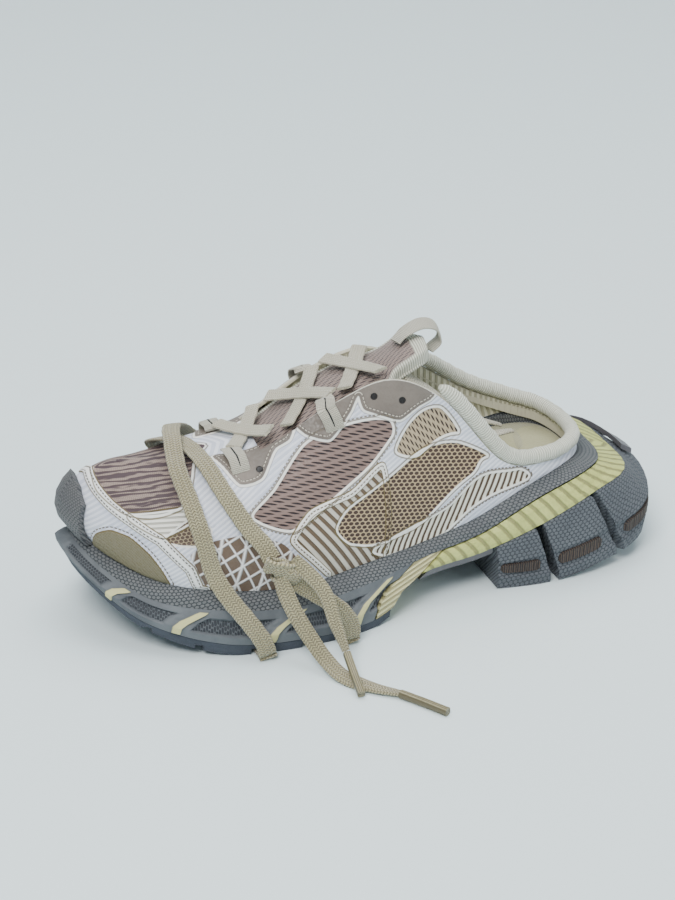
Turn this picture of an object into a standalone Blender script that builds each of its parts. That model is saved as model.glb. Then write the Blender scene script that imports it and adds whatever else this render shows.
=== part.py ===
# Runner mule sneaker, left shoe. Metres, +Z up, toe towards -X, lateral side towards -Y, floor at z = 0.
import math

import bmesh
import bpy
import numpy as np

# Driving sizes
sole_length = 0.310
ball_width = 0.121
heel_stack = 0.058          # floor to the line where upper and midsole meet, beside the heel
instep_height = 0.118       # floor to the top of the throat's edge
wall = 0.0025               # the upper's wall
clearance = 0.0003          # between pieces that meet
insole_thickness = 0.0045
bumper_thickness = 0.0035
overlay_thickness = 0.0012
collar_radius = 0.0037
tongue_thickness = 0.0055
lace_width = 0.008
lace_thickness = 0.0016
slot_width = 0.0045         # between the heel's blocks
lace_gap_width = 0.0115     # the tread's two gaps for the wrap lace
lace_gap_depth = 0.0034

# A row for each station round the last, from the toe tip along the lateral side to the heel and back.
# x is a share of the sole's length from its middle, y a share of the ball width.
outline_columns = ("sole_x", "sole_y", "feather_x", "feather_y", "low_in", "high_in")
outline_rows = (
    (-0.500, 0.080, -0.470, 0.080, 0.20, 0.60),
    (-0.474, -0.135, -0.435, -0.110, 0.20, 0.55),
    (-0.403, -0.325, -0.370, -0.270, 0.15, 0.50),
    (-0.289, -0.458, -0.270, -0.375, 0.12, 0.45),
    (-0.167, -0.500, -0.164, -0.400, 0.12, 0.40),
    (-0.054, -0.466, -0.054, -0.367, 0.12, 0.40),
    (0.053, -0.383, 0.049, -0.317, 0.12, 0.40),
    (0.156, -0.350, 0.143, -0.284, 0.12, 0.40),
    (0.259, -0.375, 0.230, -0.268, 0.12, 0.40),
    (0.362, -0.367, 0.307, -0.226, 0.20, 0.50),
    (0.462, -0.255, 0.355, -0.110, 0.33, 0.70),
    (0.500, 0.063, 0.378, 0.063, 0.40, 0.78),
    (0.466, 0.358, 0.361, 0.245, 0.33, 0.70),
    (0.369, 0.448, 0.311, 0.320, 0.20, 0.50),
    (0.265, 0.420, 0.230, 0.336, 0.12, 0.40),
    (0.156, 0.385, 0.143, 0.328, 0.12, 0.40),
    (0.050, 0.375, 0.050, 0.310, 0.12, 0.40),
    (-0.061, 0.435, -0.061, 0.352, 0.12, 0.40),
    (-0.173, 0.500, -0.167, 0.418, 0.12, 0.40),
    (-0.296, 0.485, -0.276, 0.410, 0.12, 0.45),
    (-0.409, 0.402, -0.377, 0.336, 0.15, 0.50),
    (-0.478, 0.253, -0.438, 0.220, 0.20, 0.55),
)

# Heights at the same stations, as shares of the heel stack, from the ground to the feather line, and
# the bed that the insole lies on.
height_columns = ("ground", "tread", "belly", "low", "high", "feather", "bed")
height_rows = (
    (0.655, 0.71, 0.76, 0.79, 0.81, 0.86, 0.76),
    (0.500, 0.57, 0.62, 0.64, 0.66, 0.72, 0.66),
    (0.207, 0.29, 0.36, 0.40, 0.46, 0.58, 0.54),
    (0.010, 0.12, 0.21, 0.26, 0.39, 0.51, 0.47),
    (0.0, 0.09, 0.19, 0.24, 0.36, 0.48, 0.45),
    (0.0, 0.09, 0.21, 0.28, 0.41, 0.53, 0.50),
    (0.200, 0.27, 0.32, 0.36, 0.48, 0.57, 0.55),
    (0.030, 0.14, 0.27, 0.40, 0.56, 0.66, 0.62),
    (0.0, 0.10, 0.30, 0.60, 0.82, 0.85, 0.74),
    (0.090, 0.19, 0.42, 0.80, 0.955, 0.97, 0.80),
    (0.190, 0.30, 0.52, 0.82, 0.93, 0.95, 0.80),
    (0.280, 0.39, 0.60, 0.75, 0.87, 0.91, 0.79),
    (0.200, 0.31, 0.54, 0.80, 0.92, 0.95, 0.80),
    (0.090, 0.19, 0.42, 0.80, 0.955, 0.98, 0.80),
    (0.0, 0.10, 0.30, 0.61, 0.83, 0.87, 0.75),
    (0.030, 0.14, 0.27, 0.41, 0.58, 0.68, 0.63),
    (0.200, 0.27, 0.32, 0.37, 0.50, 0.58, 0.56),
    (0.0, 0.09, 0.21, 0.28, 0.41, 0.53, 0.50),
    (0.0, 0.09, 0.19, 0.24, 0.36, 0.48, 0.45),
    (0.010, 0.12, 0.21, 0.26, 0.39, 0.51, 0.47),
    (0.207, 0.29, 0.36, 0.40, 0.46, 0.58, 0.54),
    (0.500, 0.57, 0.62, 0.64, 0.66, 0.72, 0.66),
)

# The upper's top edge at the same stations: the line round the vamp's crown, the throat and the
# collar. z is a share of the instep height. Bulge is a share of the ball width, and rise, lean and
# drop are shares of the way between feather line and edge.
upper_columns = ("edge_x", "edge_y", "edge_z", "bulge", "rise", "lean", "drop")
upper_rows = (
    (-0.402, 0.050, 0.695, 0.120, 0.52, 0.55, -0.02),
    (-0.388, -0.010, 0.695, 0.105, 0.52, 0.55, -0.02),
    (-0.347, -0.055, 0.70, 0.065, 0.50, 0.50, 0.0),
    (-0.270, -0.095, 0.705, 0.035, 0.50, 0.50, 0.0),
    (-0.192, -0.128, 0.725, 0.025, 0.50, 0.45, 0.04),
    (-0.083, -0.160, 0.89, 0.025, 0.45, 0.40, 0.15),
    (0.013, -0.177, 0.975, 0.025, 0.45, 0.30, 0.22),
    (0.097, -0.220, 0.87, 0.020, 0.45, 0.15, 0.35),
    (0.194, -0.260, 0.565, 0.015, 0.40, 0.05, 0.40),
    (0.278, -0.243, 0.515, 0.0, 0.40, 0.0, 0.40),
    (0.346, -0.130, 0.505, 0.0, 0.40, 0.0, 0.40),
    (0.369, 0.063, 0.490, 0.0, 0.40, 0.0, 0.40),
    (0.350, 0.230, 0.508, 0.0, 0.40, 0.0, 0.40),
    (0.298, 0.303, 0.545, 0.0, 0.40, 0.0, 0.40),
    (0.220, 0.311, 0.64, 0.015, 0.40, 0.05, 0.40),
    (0.130, 0.294, 0.80, 0.020, 0.45, 0.15, 0.35),
    (0.033, 0.253, 0.930, 0.025, 0.45, 0.30, 0.22),
    (-0.070, 0.228, 0.87, 0.025, 0.45, 0.40, 0.15),
    (-0.186, 0.195, 0.715, 0.025, 0.50, 0.45, 0.04),
    (-0.270, 0.162, 0.680, 0.035, 0.50, 0.50, 0.0),
    (-0.347, 0.129, 0.665, 0.065, 0.50, 0.50, 0.0),
    (-0.390, 0.092, 0.680, 0.105, 0.52, 0.55, -0.02),
)

station_count = len(outline_rows)
heel_station = station_count / 2
throat_station = 4.0        # the lateral station where the throat begins
steps_per_station = 4


def columns(names, rows, scales):
    table = np.array(rows, dtype=float)
    return {name: table[:, k] * scales.get(name, 1.0) for k, name in enumerate(names)}


outline = columns(outline_columns, outline_rows, {
    "sole_x": sole_length, "feather_x": sole_length, "sole_y": ball_width, "feather_y": ball_width})
heights = columns(height_columns, height_rows, {name: heel_stack for name in height_columns})
edge = columns(upper_columns, upper_rows, {
    "edge_x": sole_length, "edge_y": ball_width, "edge_z": instep_height, "bulge": ball_width})


# A closed Catmull-Rom curve through one column, read at stations t.
def along(column, t):
    t = np.asarray(t, dtype=float) % station_count
    i = np.floor(t).astype(int)
    u = t - i
    p = [column[(i + k) % station_count] for k in (-1, 0, 1, 2)]
    return 0.5 * (2 * p[1] + (p[2] - p[0]) * u + (2 * p[0] - 5 * p[1] + 4 * p[2] - p[3]) * u ** 2
                  + (3 * p[1] - p[0] - 3 * p[2] + p[3]) * u ** 3)


# The sole's side at station t and level, both arrays: how far in from the outline it lies, and how high.
level_names = ("ground", "tread", "belly", "low", "high", "feather")
inset = {"ground": 0.0015, "tread": 0.0004, "belly": 0.0}


def share_in(t, level):
    if level == "feather":
        return 1 + 0 * t
    if level in inset:
        reach = np.hypot(along(outline["sole_x"], t) - along(outline["feather_x"], t),
                         along(outline["sole_y"], t) - along(outline["feather_y"], t))
        return inset[level] / reach
    return along(outline[level + "_in"], t)


def sole_point(t, level, drop=0.0):
    t = np.asarray(t, dtype=float)
    w = share_in(t, level)
    x = along(outline["sole_x"], t) * (1 - w) + along(outline["feather_x"], t) * w
    y = along(outline["sole_y"], t) * (1 - w) + along(outline["feather_y"], t) * w
    z = np.maximum(along(heights[level], t), 0.0) - drop
    return np.stack([x, y, z], -1)


# The middle line that the last is built round.
def spine_point(x):
    lo, hi = -0.316 * sole_length, 0.281 * sole_length
    return np.stack([np.clip(x, lo, hi), 0.05 * ball_width + 0 * x], -1)


# The upper's outer surface: a cubic from the feather line (v = 0) to the edge (v = 1).
def wall_point(t, v):
    t, v = np.broadcast_arrays(np.asarray(t, dtype=float), np.asarray(v, dtype=float))
    foot = sole_point(t, "feather", -clearance)
    top = np.stack([along(edge["edge_x"], t), along(edge["edge_y"], t), along(edge["edge_z"], t)], -1)
    out = foot[..., :2] - spine_point(foot[..., 0])
    out = out / np.linalg.norm(out, axis=-1, keepdims=True)
    rise = along(edge["rise"], t)[..., None]
    lean = along(edge["lean"], t)[..., None]
    drop = along(edge["drop"], t)[..., None]
    span = top - foot
    low = foot + np.concatenate([out * along(edge["bulge"], t)[..., None], rise * span[..., 2:]], -1)
    high = top - np.concatenate([lean * span[..., :2], drop * span[..., 2:]], -1)
    v = v[..., None]
    return (foot * (1 - v) ** 3 + low * 3 * v * (1 - v) ** 2 + high * 3 * v ** 2 * (1 - v) + top * v ** 3)


# The line across the throat and the vamp's crown, from the lateral edge (u = 0) to the medial (u = 1).
def crown_point(t, u, lift):
    lateral, medial = wall_point(t, 1.0), wall_point(-np.asarray(t), 1.0)
    u = np.asarray(u, dtype=float)[..., None]
    arch = np.array([0.0, 0.0, 1.0]) * lift * 4 * u * (1 - u)
    return lateral * (1 - u) + medial * u + arch


# Unit normals of the wall at stations t and heights v.
def wall_normal(t, v):
    step = 0.004
    t, v = np.broadcast_arrays(np.asarray(t, dtype=float), np.asarray(v, dtype=float))
    lo, hi = np.clip(v - step, 0, 1), np.clip(v + step, 0, 1)
    across = wall_point(t + step, v) - wall_point(t - step, v)
    up = wall_point(t, hi) - wall_point(t, lo)
    normals = np.cross(across, up)
    return normals / np.linalg.norm(normals, axis=-1, keepdims=True)


# Objects and materials


def clear_scene():
    for item in list(bpy.data.objects):
        bpy.data.objects.remove(item, do_unlink=True)


def material(name, colour, roughness, metallic=0.0):
    made = bpy.data.materials.get(name)
    if made:
        return made
    made = bpy.data.materials.new(name)
    made.use_nodes = True
    shader = made.node_tree.nodes["Principled BSDF"]
    shader.inputs["Base Color"].default_value = (*colour, 1.0)
    shader.inputs["Roughness"].default_value = roughness
    shader.inputs["Metallic"].default_value = metallic
    return made


def place(name, mesh, look, sharp_angle=40):
    mesh.materials.append(look)
    mesh.shade_smooth()
    mesh.set_sharp_from_angle(angle=math.radians(sharp_angle))
    item = bpy.data.objects.new(name, mesh)
    bpy.context.scene.collection.objects.link(item)
    return item


# A closed mesh from points and faces: points that coincide are welded and every face turned outwards.
def solid(name, points, faces, look, sharp_angle=40):
    shape = bmesh.new()
    verts = [shape.verts.new(p) for p in points]
    for face in faces:
        corners = [verts[k] for k in face]
        if len(set(corners)) > 2:
            shape.faces.new(corners)
    bmesh.ops.remove_doubles(shape, verts=shape.verts, dist=1e-6)
    bmesh.ops.dissolve_degenerate(shape, edges=shape.edges, dist=1e-7)
    bmesh.ops.recalc_face_normals(shape, faces=shape.faces)
    if shape.calc_volume(signed=True) < 0:
        bmesh.ops.reverse_faces(shape, faces=shape.faces)
    mesh = bpy.data.meshes.new(name)
    shape.to_mesh(mesh)
    shape.free()
    return place(name, mesh, look, sharp_angle)


# A solid through a row of closed sections with the same number of points. Ruled ends are strips from
# side to side, so that two pieces whose ends face each other run parallel.
def section_solid(name, sections, look, sharp_angle=40, ruled_ends=False):
    size = len(sections[0])
    points = [p for section in sections for p in section]
    faces = []
    for k in range(len(sections) - 1):
        for j in range(size):
            a, b = k * size + j, k * size + (j + 1) % size
            faces.append((a, b, b + size, a + size))
    for k in (0, len(sections) - 1):
        base = k * size
        if ruled_ends:
            for j in range(size // 2 - 1):
                faces.append((base + j, base + j + 1, base + size - 2 - j, base + size - 1 - j))
        elif np.ptp(np.array(sections[k])[:, 1]) > 1e-5:
            faces.append(tuple(range(base, base + size)))
    return solid(name, points, faces, look, sharp_angle)


# A sheet with thickness: an outer and an inner grid of the same size, closed along their borders.
def sheet_solid(name, outer, inner, look, closed=False, sharp_angle=50):
    rows, cols = outer.shape[:2]
    points = np.concatenate([outer.reshape(-1, 3), inner.reshape(-1, 3)])
    half = rows * cols
    faces = []
    last = rows if closed else rows - 1
    for i in range(last):
        n = (i + 1) % rows
        for j in range(cols - 1):
            a, b, c, d = i * cols + j, i * cols + j + 1, n * cols + j + 1, n * cols + j
            faces.append((a, b, c, d))
            faces.append((d + half, c + half, b + half, a + half))
        for j in (0, cols - 1):
            a, b = i * cols + j, n * cols + j
            faces.append((a, b, b + half, a + half))
    if not closed:
        for i in (0, rows - 1):
            for j in range(cols - 1):
                a, b = i * cols + j, i * cols + j + 1
                faces.append((a, b, b + half, a + half))
    return solid(name, points, faces, look, sharp_angle)


# Sole


# Moves points straight out from the middle line.
def pushed(points, push):
    out = points[..., :2] - spine_point(points[..., 0])
    out = out / np.linalg.norm(out, axis=-1, keepdims=True)
    return points + np.concatenate([out * push, 0 * points[..., :1]], -1)


def between(t, lower, upper, share, push=0.0, drop=0.0):
    mixed = sole_point(t, lower) * (1 - share) + sole_point(t, upper) * share
    mixed[..., 2] -= drop
    return pushed(mixed, push)


# A section across the sole: the side's points from the bottom up, then the other side's back down.
def across(side, t):
    lateral = side(t)
    medial = side([-k for k in t])
    return lateral + medial[::-1]


def stations(first, last, step=0.2):
    count = max(2, int(round((last - first) / step)) + 1)
    return [first + (last - first) * k / (count - 1) for k in range(count)]


rim_width = wall + 0.0015   # from the feather line in to the recess that the insole lies in
bed_thickness = 0.0035
core_thickness = 0.004
core_inset = 0.006


# Where two layers meet inside the sole, they run lower than at the side, to leave room for the recess.
def core_point(t, level, below):
    side = sole_point(t, level)
    reach = np.linalg.norm((side - sole_point(t, "feather"))[:2])
    core = pushed(side, -reach - core_inset)
    core[2] = min(along(heights[level], t), along(heights["bed"], t) - bed_thickness - below)
    return core


def midsole():
    def side(t):
        t = t[0]
        rim = pushed(sole_point(t, "feather"), -rim_width)
        bed = rim.copy()
        bed[2] = along(heights["bed"], t)
        return [core_point(t, "high", 0), sole_point(t, "high"), between(t, "high", "feather", 0.5, 0.0014), sole_point(t, "feather"), rim, bed]

    sections = [across(side, [t]) for t in stations(0, heel_station, 0.25)]
    return section_solid("midsole", sections, grey_foam)


# Where the slanting arch wedge starts and ends, by level.
wedge_front = {"tread": 5.05, "belly": 5.12, "low": 5.25, "high": 5.80}
wedge_rear = {"tread": 5.35, "belly": 5.50, "low": 5.85, "high": 6.28}
seam = 0.036                # between slanting pieces, in stations
rib_stations = (1.40, 2.35, 3.50, 4.70)
rib_half = 0.05
rib_height = 0.0014
pod_depth = 0.0012


# The pods' panels are sunk between their frames, and thin ribs stand between the pods.
def pod_push(t):
    nearest = min(abs(t - rib) for rib in rib_stations)
    if nearest <= rib_half + 1e-6:
        return rib_height
    if nearest <= 3.2 * rib_half:
        return 0.0
    return -pod_depth


def forefoot_frame():
    marks = set(stations(0.0, 5.0, 0.25))
    for rib in rib_stations:
        marks |= {rib - 3.2 * rib_half, rib - rib_half * 1.3, rib - rib_half, rib + rib_half,
                  rib + rib_half * 1.3, rib + 3.2 * rib_half}
    marks = [t for t in sorted(marks) if t < 4.95] + [5.0]

    def side(t):
        s = abs(t[0]) / marks[-1]
        sign = 1 if t[0] >= 0 else -1
        at = {level: sign * s * (wedge_front[level] - seam) for level in wedge_front}
        push = pod_push(abs(t[0]))
        lower = sole_point(at["tread"], "tread")
        top = sole_point(at["high"], "high", 2 * clearance)
        belly = sole_point(at["belly"], "belly")
        low = sole_point(at["low"], "low")
        if s == 1:
            return [lower, (lower + belly) / 2, belly, low, (low + top) / 2, top]
        return [lower, lower * 0.6 + belly * 0.4, pushed(lower * 0.35 + belly * 0.65, push),
                pushed(belly * 0.2 + low * 0.8, push), low * 0.55 + top * 0.45, top]

    sections = [across(side, [t]) for t in marks]
    return section_solid("forefoot_frame", sections, grey_foam, 30, ruled_ends=True)


# The tread's gaps: where each starts along the foot as a share of the sole's length, and its width.
lace_gaps = (-0.237, -0.102)
tread_gaps = (-0.402, -0.331, -0.169)
tread_gap_width = 0.004
tread_gap_depth = 0.0026


def gap_cutter(places):
    points, faces = [], []
    for x, width, depth in places:
        base = len(points)
        floor = -0.01
        for dx in (-width / 2, width / 2):
            for y in (-ball_width, ball_width):
                for z in (floor, depth):
                    points.append((x + dx, y, z))
        for face in ((0, 1, 3, 2), (4, 6, 7, 5), (0, 4, 5, 1), (2, 3, 7, 6), (0, 2, 6, 4), (1, 5, 7, 3)):
            faces.append(tuple(base + k for k in face))
    item = solid("gap_cutter", points, faces, dark_rubber)
    item.hide_render = True
    item.display_type = "WIRE"
    return item


def cut(item, cutter):
    modifier = item.modifiers.new("gaps", "BOOLEAN")
    modifier.operation = "DIFFERENCE"
    modifier.solver = "EXACT"
    modifier.object = cutter


def outsole_forefoot():
    first, last = 0.5, 5.3

    def side(t):
        return [sole_point(t[0], "ground"), sole_point(t[0], "tread", clearance)]

    item = section_solid("outsole_forefoot", [across(side, [t]) for t in stations(first, last)], dark_rubber)
    places = [(x * sole_length, lace_gap_width, lace_gap_depth) for x in lace_gaps]
    for x in tread_gaps:
        t = np.interp(x, (-0.474, -0.403, -0.289, -0.167), (1, 2, 3, 4))
        height = float(sole_point(t, "ground")[2])
        places.append((x * sole_length, tread_gap_width, height + tread_gap_depth))
    cut(item, gap_cutter(places))
    return item


def arch_wedge():
    def side(t):
        share, sign = abs(t[0]), 1 if t[0] >= 0 else -1
        at = {level: sign * (wedge_front[level] * (1 - share) + wedge_rear[level] * share)
              for level in wedge_front}
        return [sole_point(at["tread"], "tread"), sole_point(at["belly"], "belly"),
                sole_point(at["low"], "low"), sole_point(at["high"], "high", clearance)]

    sections = [across(side, [share]) for share in (1e-9, 0.33, 0.67, 1.0)]
    return section_solid("arch_wedge", sections, cream_foam, ruled_ends=True)


def chassis_band():
    def side(t):
        share, sign = abs(t[0]), 1 if t[0] >= 0 else -1
        at = {level: sign * (wedge_rear[level] + seam + (heel_station - wedge_rear[level] - seam) * share)
              for level in ("low", "high")}
        low, high = sole_point(at["low"], "low"), sole_point(at["high"], "high", 3 * clearance)
        low_core = core_point(at["low"], "low", core_thickness)
        high_core = core_point(at["high"], "high", 0) - np.array([0, 0, 4 * clearance])
        return [low_core, low, pushed(low * 0.8 + high * 0.2, 0.0008), pushed(low * 0.3 + high * 0.7, 0.0010), high,
                high_core]

    first = wedge_rear["high"] + seam
    marks = [first] + stations(math.ceil(first * 4) / 4, heel_station, 0.25)
    sections = [across(side, [(t - first) / (heel_station - first) + 1e-9]) for t in marks]
    return section_solid("chassis_band", sections, yellow_foam)


plate_thickness = 0.0042
block_front = 7.2           # the station where the first heel block starts


def shank_plate():
    def side(t):
        share, sign = abs(t[0]), 1 if t[0] >= 0 else -1
        start = wedge_rear["low"] + 5 * seam
        top = pushed(sole_point(sign * (start + (block_front - seam - start) * share), "low", clearance), -0.001)
        start = wedge_rear["belly"] + 10 * seam
        low = pushed(sole_point(sign * (start + (block_front - seam - start) * share), "low", plate_thickness),
                     -0.002)
        return [low, top]

    count = 9
    sections = [across(side, [k / (count - 1) + 1e-9]) for k in range(count)]
    return section_solid("shank_plate", sections, grey_plate)


# The heel's blocks: first and last station at the top and at the ground, round the lateral side. The
# rear block runs on to the same stations of the medial side.
slot = slot_width / (0.103 * sole_length)
slots = ((7.90, 8.20), (8.90, 9.40))
block_columns = ("first_top", "first_ground", "last_top", "last_ground")
block_rows = {
    "front": (block_front, block_front + 0.05, slots[0][0] - slot / 2, slots[0][1] - slot / 2),
    "mid": (slots[0][0] + slot / 2, slots[0][1] + slot / 2, slots[1][0] - slot / 2, slots[1][1] - slot / 2),
    "rear": (slots[1][0] + slot / 2, slots[1][1] + slot / 2,
             2 * heel_station - slots[1][0] - slot / 2, 2 * heel_station - slots[1][1] - slot / 2),
}
block_core = 0.22           # how near the middle line a block reaches, as a share of its outline's way
block_core_height = 0.49
recess_depth = 0.0012


def heel_block(name, kind, sign):
    first_top, first_ground, last_top, last_ground = block_rows[kind]

    def section(share):
        def at(height):
            first = first_ground * (1 - height) + first_top * height
            last = last_ground * (1 - height) + last_top * height
            return sign * (first * (1 - share) + last * share)

        outer = [sole_point(at(0), "ground"), sole_point(at(0.1), "tread"),
                 between(at(0.2), "tread", "belly", 0.25, -recess_depth),
                 between(at(0.4), "tread", "belly", 0.80, -recess_depth),
                 sole_point(at(0.5), "belly"), between(at(0.9), "belly", "low", 0.9, 0.0006),
                 sole_point(at(1.0), "low", clearance)]
        top, low = outer[-1], outer[0]
        inner_top, inner_low = top.copy(), low.copy()
        inner_top[:2] = spine_point(top[0]) + block_core * (top[:2] - spine_point(top[0]))
        inner_low[:2] = spine_point(low[0]) + block_core * (low[:2] - spine_point(low[0]))
        inner_top[2] = min(0.85 * top[2], block_core_height * heel_stack)
        return outer + [inner_top, inner_low]

    count = 19 if kind == "rear" else 6
    sections = [section(k / (count - 1)) for k in range(count)]
    return section_solid(name, sections, dark_rubber, 30)


def heel_ridge():
    t = np.linspace(10.9, 12.5, 9)[:, None]
    share = np.linspace(0.25, 0.72, 4)[None, :]
    belly, low = sole_point(t, "belly"), between(t, "belly", "low", 0.9, 0.0006)
    deck = belly * (1 - share[..., None]) + low * share[..., None]
    up = np.array([0.0, 0.0, 1.0])
    inner = deck + up * 4 * clearance
    return sheet_solid("heel_ridge", inner + up * 0.003, inner, grey_plate)


# Upper


vamp_steps = int(throat_station * steps_per_station)
wall_rows = 7
crown_columns = 6
crown_lift = 0.0015
rear_first = 8              # from this station on the low wall round the heel stands upright


def unique(face):
    return tuple(dict.fromkeys(face))


def upper():
    count = station_count * steps_per_station
    t = np.arange(count)[:, None] / steps_per_station
    v = np.linspace(0, 1, wall_rows)[None, :]
    outer = wall_point(t, v)
    inner = outer - wall_normal(t, v) * wall
    inner[:, 0] = pushed(outer[:, 0], -wall)
    rear = slice(rear_first * steps_per_station, (station_count - rear_first) * steps_per_station + 1)
    inner[rear] = pushed(outer[rear], -wall)
    vamp = np.r_[0:vamp_steps + 1, count - vamp_steps:count]
    inner[vamp, -1] = outer[vamp, -1] - np.array([0, 0, wall])
    points = list(outer.reshape(-1, 3)) + list(inner.reshape(-1, 3))
    half = count * wall_rows
    faces = []
    top = wall_rows - 1

    def band(i, j, side):
        return (i % count) * wall_rows + j + side * half

    for i in range(count):
        for j in range(top):
            faces.append((band(i, j, 0), band(i, j + 1, 0), band(i + 1, j + 1, 0), band(i + 1, j, 0)))
            faces.append((band(i + 1, j, 1), band(i + 1, j + 1, 1), band(i, j + 1, 1), band(i, j, 1)))
        faces.append((band(i, 0, 0), band(i + 1, 0, 0), band(i + 1, 0, 1), band(i, 0, 1)))
        if vamp_steps <= i < count - vamp_steps:
            faces.append((band(i, top, 0), band(i + 1, top, 0), band(i + 1, top, 1), band(i, top, 1)))
    crown = {}
    for k in range(1, vamp_steps + 1):
        for j in range(1, crown_columns):
            ends = 1 if k > 2 else k / 3
            place_on = crown_point(k / steps_per_station, j / crown_columns, crown_lift * ends)
            for side in (0, 1):
                crown[k, j, side] = len(points)
                points.append(place_on - np.array([0, 0, wall * side]))

    def crown_vertex(k, j, side):
        if j == 0 or k == 0:
            return band(k, top, side)
        if j == crown_columns:
            return band(-k, top, side)
        return crown[k, j, side]

    for k in range(vamp_steps):
        for j in range(crown_columns):
            for side in (0, 1):
                faces.append(unique((crown_vertex(k, j, side), crown_vertex(k, j + 1, side),
                                     crown_vertex(k + 1, j + 1, side), crown_vertex(k + 1, j, side))))
    for j in range(crown_columns):
        k = vamp_steps
        faces.append((crown_vertex(k, j, 0), crown_vertex(k, j + 1, 0),
                      crown_vertex(k, j + 1, 1), crown_vertex(k, j, 1)))
    return solid("upper", points, [face for face in faces if len(face) > 2], knit, 60)


# An overlay on the upper: between two outlines that its rows give as (station, low v, high v).
def overlay(name, rows, sign, look, steps=11, columns_up=3,
            thickness=overlay_thickness, lift=3 * clearance):
    rows = np.array(rows, dtype=float)
    t = np.linspace(rows[0, 0], rows[-1, 0], steps)
    low, high = np.interp(t, rows[:, 0], rows[:, 1]), np.interp(t, rows[:, 0], rows[:, 2])
    share = np.linspace(0, 1, columns_up)[None, :]
    v = low[:, None] * (1 - share) + high[:, None] * share
    t = sign * t[:, None] + 0 * share
    surface, normals = wall_point(t, v), wall_normal(t, v)
    normals[..., 2] = np.maximum(normals[..., 2], 0)
    normals /= np.linalg.norm(normals, axis=-1, keepdims=True)
    inner = surface + normals * lift
    return sheet_solid(name, inner + normals * thickness, inner, look)


bumper_rows = ((-0.72, 0.0, 0.40), (-0.40, 0.0, 0.54), (0.0, 0.0, 0.56), (0.35, 0.0, 0.52), (0.65, 0.0, 0.40))
patch_rows = ((0.78, 0.03, 0.10), (0.95, 0.03, 0.22), (1.2, 0.03, 0.29), (1.55, 0.03, 0.29),
              (1.85, 0.03, 0.20), (2.1, 0.03, 0.08))
eyestay_rows = ((3.10, 0.93, 0.99), (3.35, 0.72, 0.99), (3.85, 0.72, 0.99), (4.20, 0.90, 0.99),
                (4.50, 0.92, 0.99), (4.65, 0.84, 0.99), (4.85, 0.76, 0.99), (5.25, 0.85, 0.99),
                (5.45, 0.84, 0.99), (6.0, 0.70, 0.99), (6.45, 0.82, 0.99), (6.7, 0.93, 0.99))
cage_rows = ((3.92, 0.26, 0.32), (4.10, 0.14, 0.38), (4.40, 0.06, 0.42), (4.80, 0.03, 0.42),
             (5.20, 0.03, 0.44), (5.50, 0.03, 0.48))


# Tongue, collar, insole, laces


# A closed sweep: a profile of (across, up) pairs carried along points, with its own up directions.
def sweep(name, points, ups, profile, look, ends=None):
    points, ups = np.array(points), np.array(ups)
    tangents = np.gradient(points, axis=0)
    tangents /= np.linalg.norm(tangents, axis=1, keepdims=True)
    sides = np.cross(tangents, ups)
    sides /= np.linalg.norm(sides, axis=1, keepdims=True)
    ups = np.cross(sides, tangents)
    sections = []
    for k, point in enumerate(points):
        scale = 1.0 if ends is None else ends[k]
        sections.append([point + sides[k] * a * scale + ups[k] * b * scale for a, b in profile])
    size = len(profile)
    faces = []
    for k in range(len(points) - 1):
        for j in range(size):
            a, b = k * size + j, k * size + (j + 1) % size
            faces.append((a, b, b + size, a + size))
    faces.append(tuple(range(size)))
    faces.append(tuple(range((len(points) - 1) * size, len(points) * size)))
    return solid(name, [p for section in sections for p in section], faces, look, 60)


def round_profile(radius, sides=10):
    return [(radius * math.cos(2 * math.pi * k / sides), radius * math.sin(2 * math.pi * k / sides))
            for k in range(sides)]


def flat_profile(width, thickness):
    a, b = width / 2, thickness / 2
    return [(-a, -b), (a, -b), (a, b), (-a, b)]


# A smooth open curve through a few points, with points about one step apart.
def smooth_path(rows, step):
    rows = np.array(rows, dtype=float)
    ends = np.vstack([2 * rows[0] - rows[1], rows, 2 * rows[-1] - rows[-2]])
    fine = []
    for k in range(1, len(ends) - 2):
        for u in np.linspace(0, 1, 24, endpoint=False):
            p = ends[k - 1:k + 3]
            fine.append(0.5 * (2 * p[1] + (p[2] - p[0]) * u + (2 * p[0] - 5 * p[1] + 4 * p[2] - p[3]) * u ** 2
                               + (3 * p[1] - p[0] - 3 * p[2] + p[3]) * u ** 3))
    fine.append(rows[-1])
    fine = np.array(fine)
    reach = np.concatenate([[0], np.cumsum(np.linalg.norm(np.diff(fine[:, :3], axis=0), axis=1))])
    marks = np.linspace(0, reach[-1], max(2, int(round(reach[-1] / step)) + 1))
    return np.stack([np.interp(marks, reach, fine[:, k]) for k in range(fine.shape[1])], -1)


tongue_first, tongue_last = 3.7, 6.0
tongue_tuck = 0.90          # how far down the wall the tongue reaches, as the wall's v
tongue_lift = 0.003
tongue_free = ((0.006, 0.0045, 0.76), (0.014, 0.0090, 0.74), (0.021, 0.0110, 0.64), (0.0255, 0.0105, 0.46))


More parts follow.
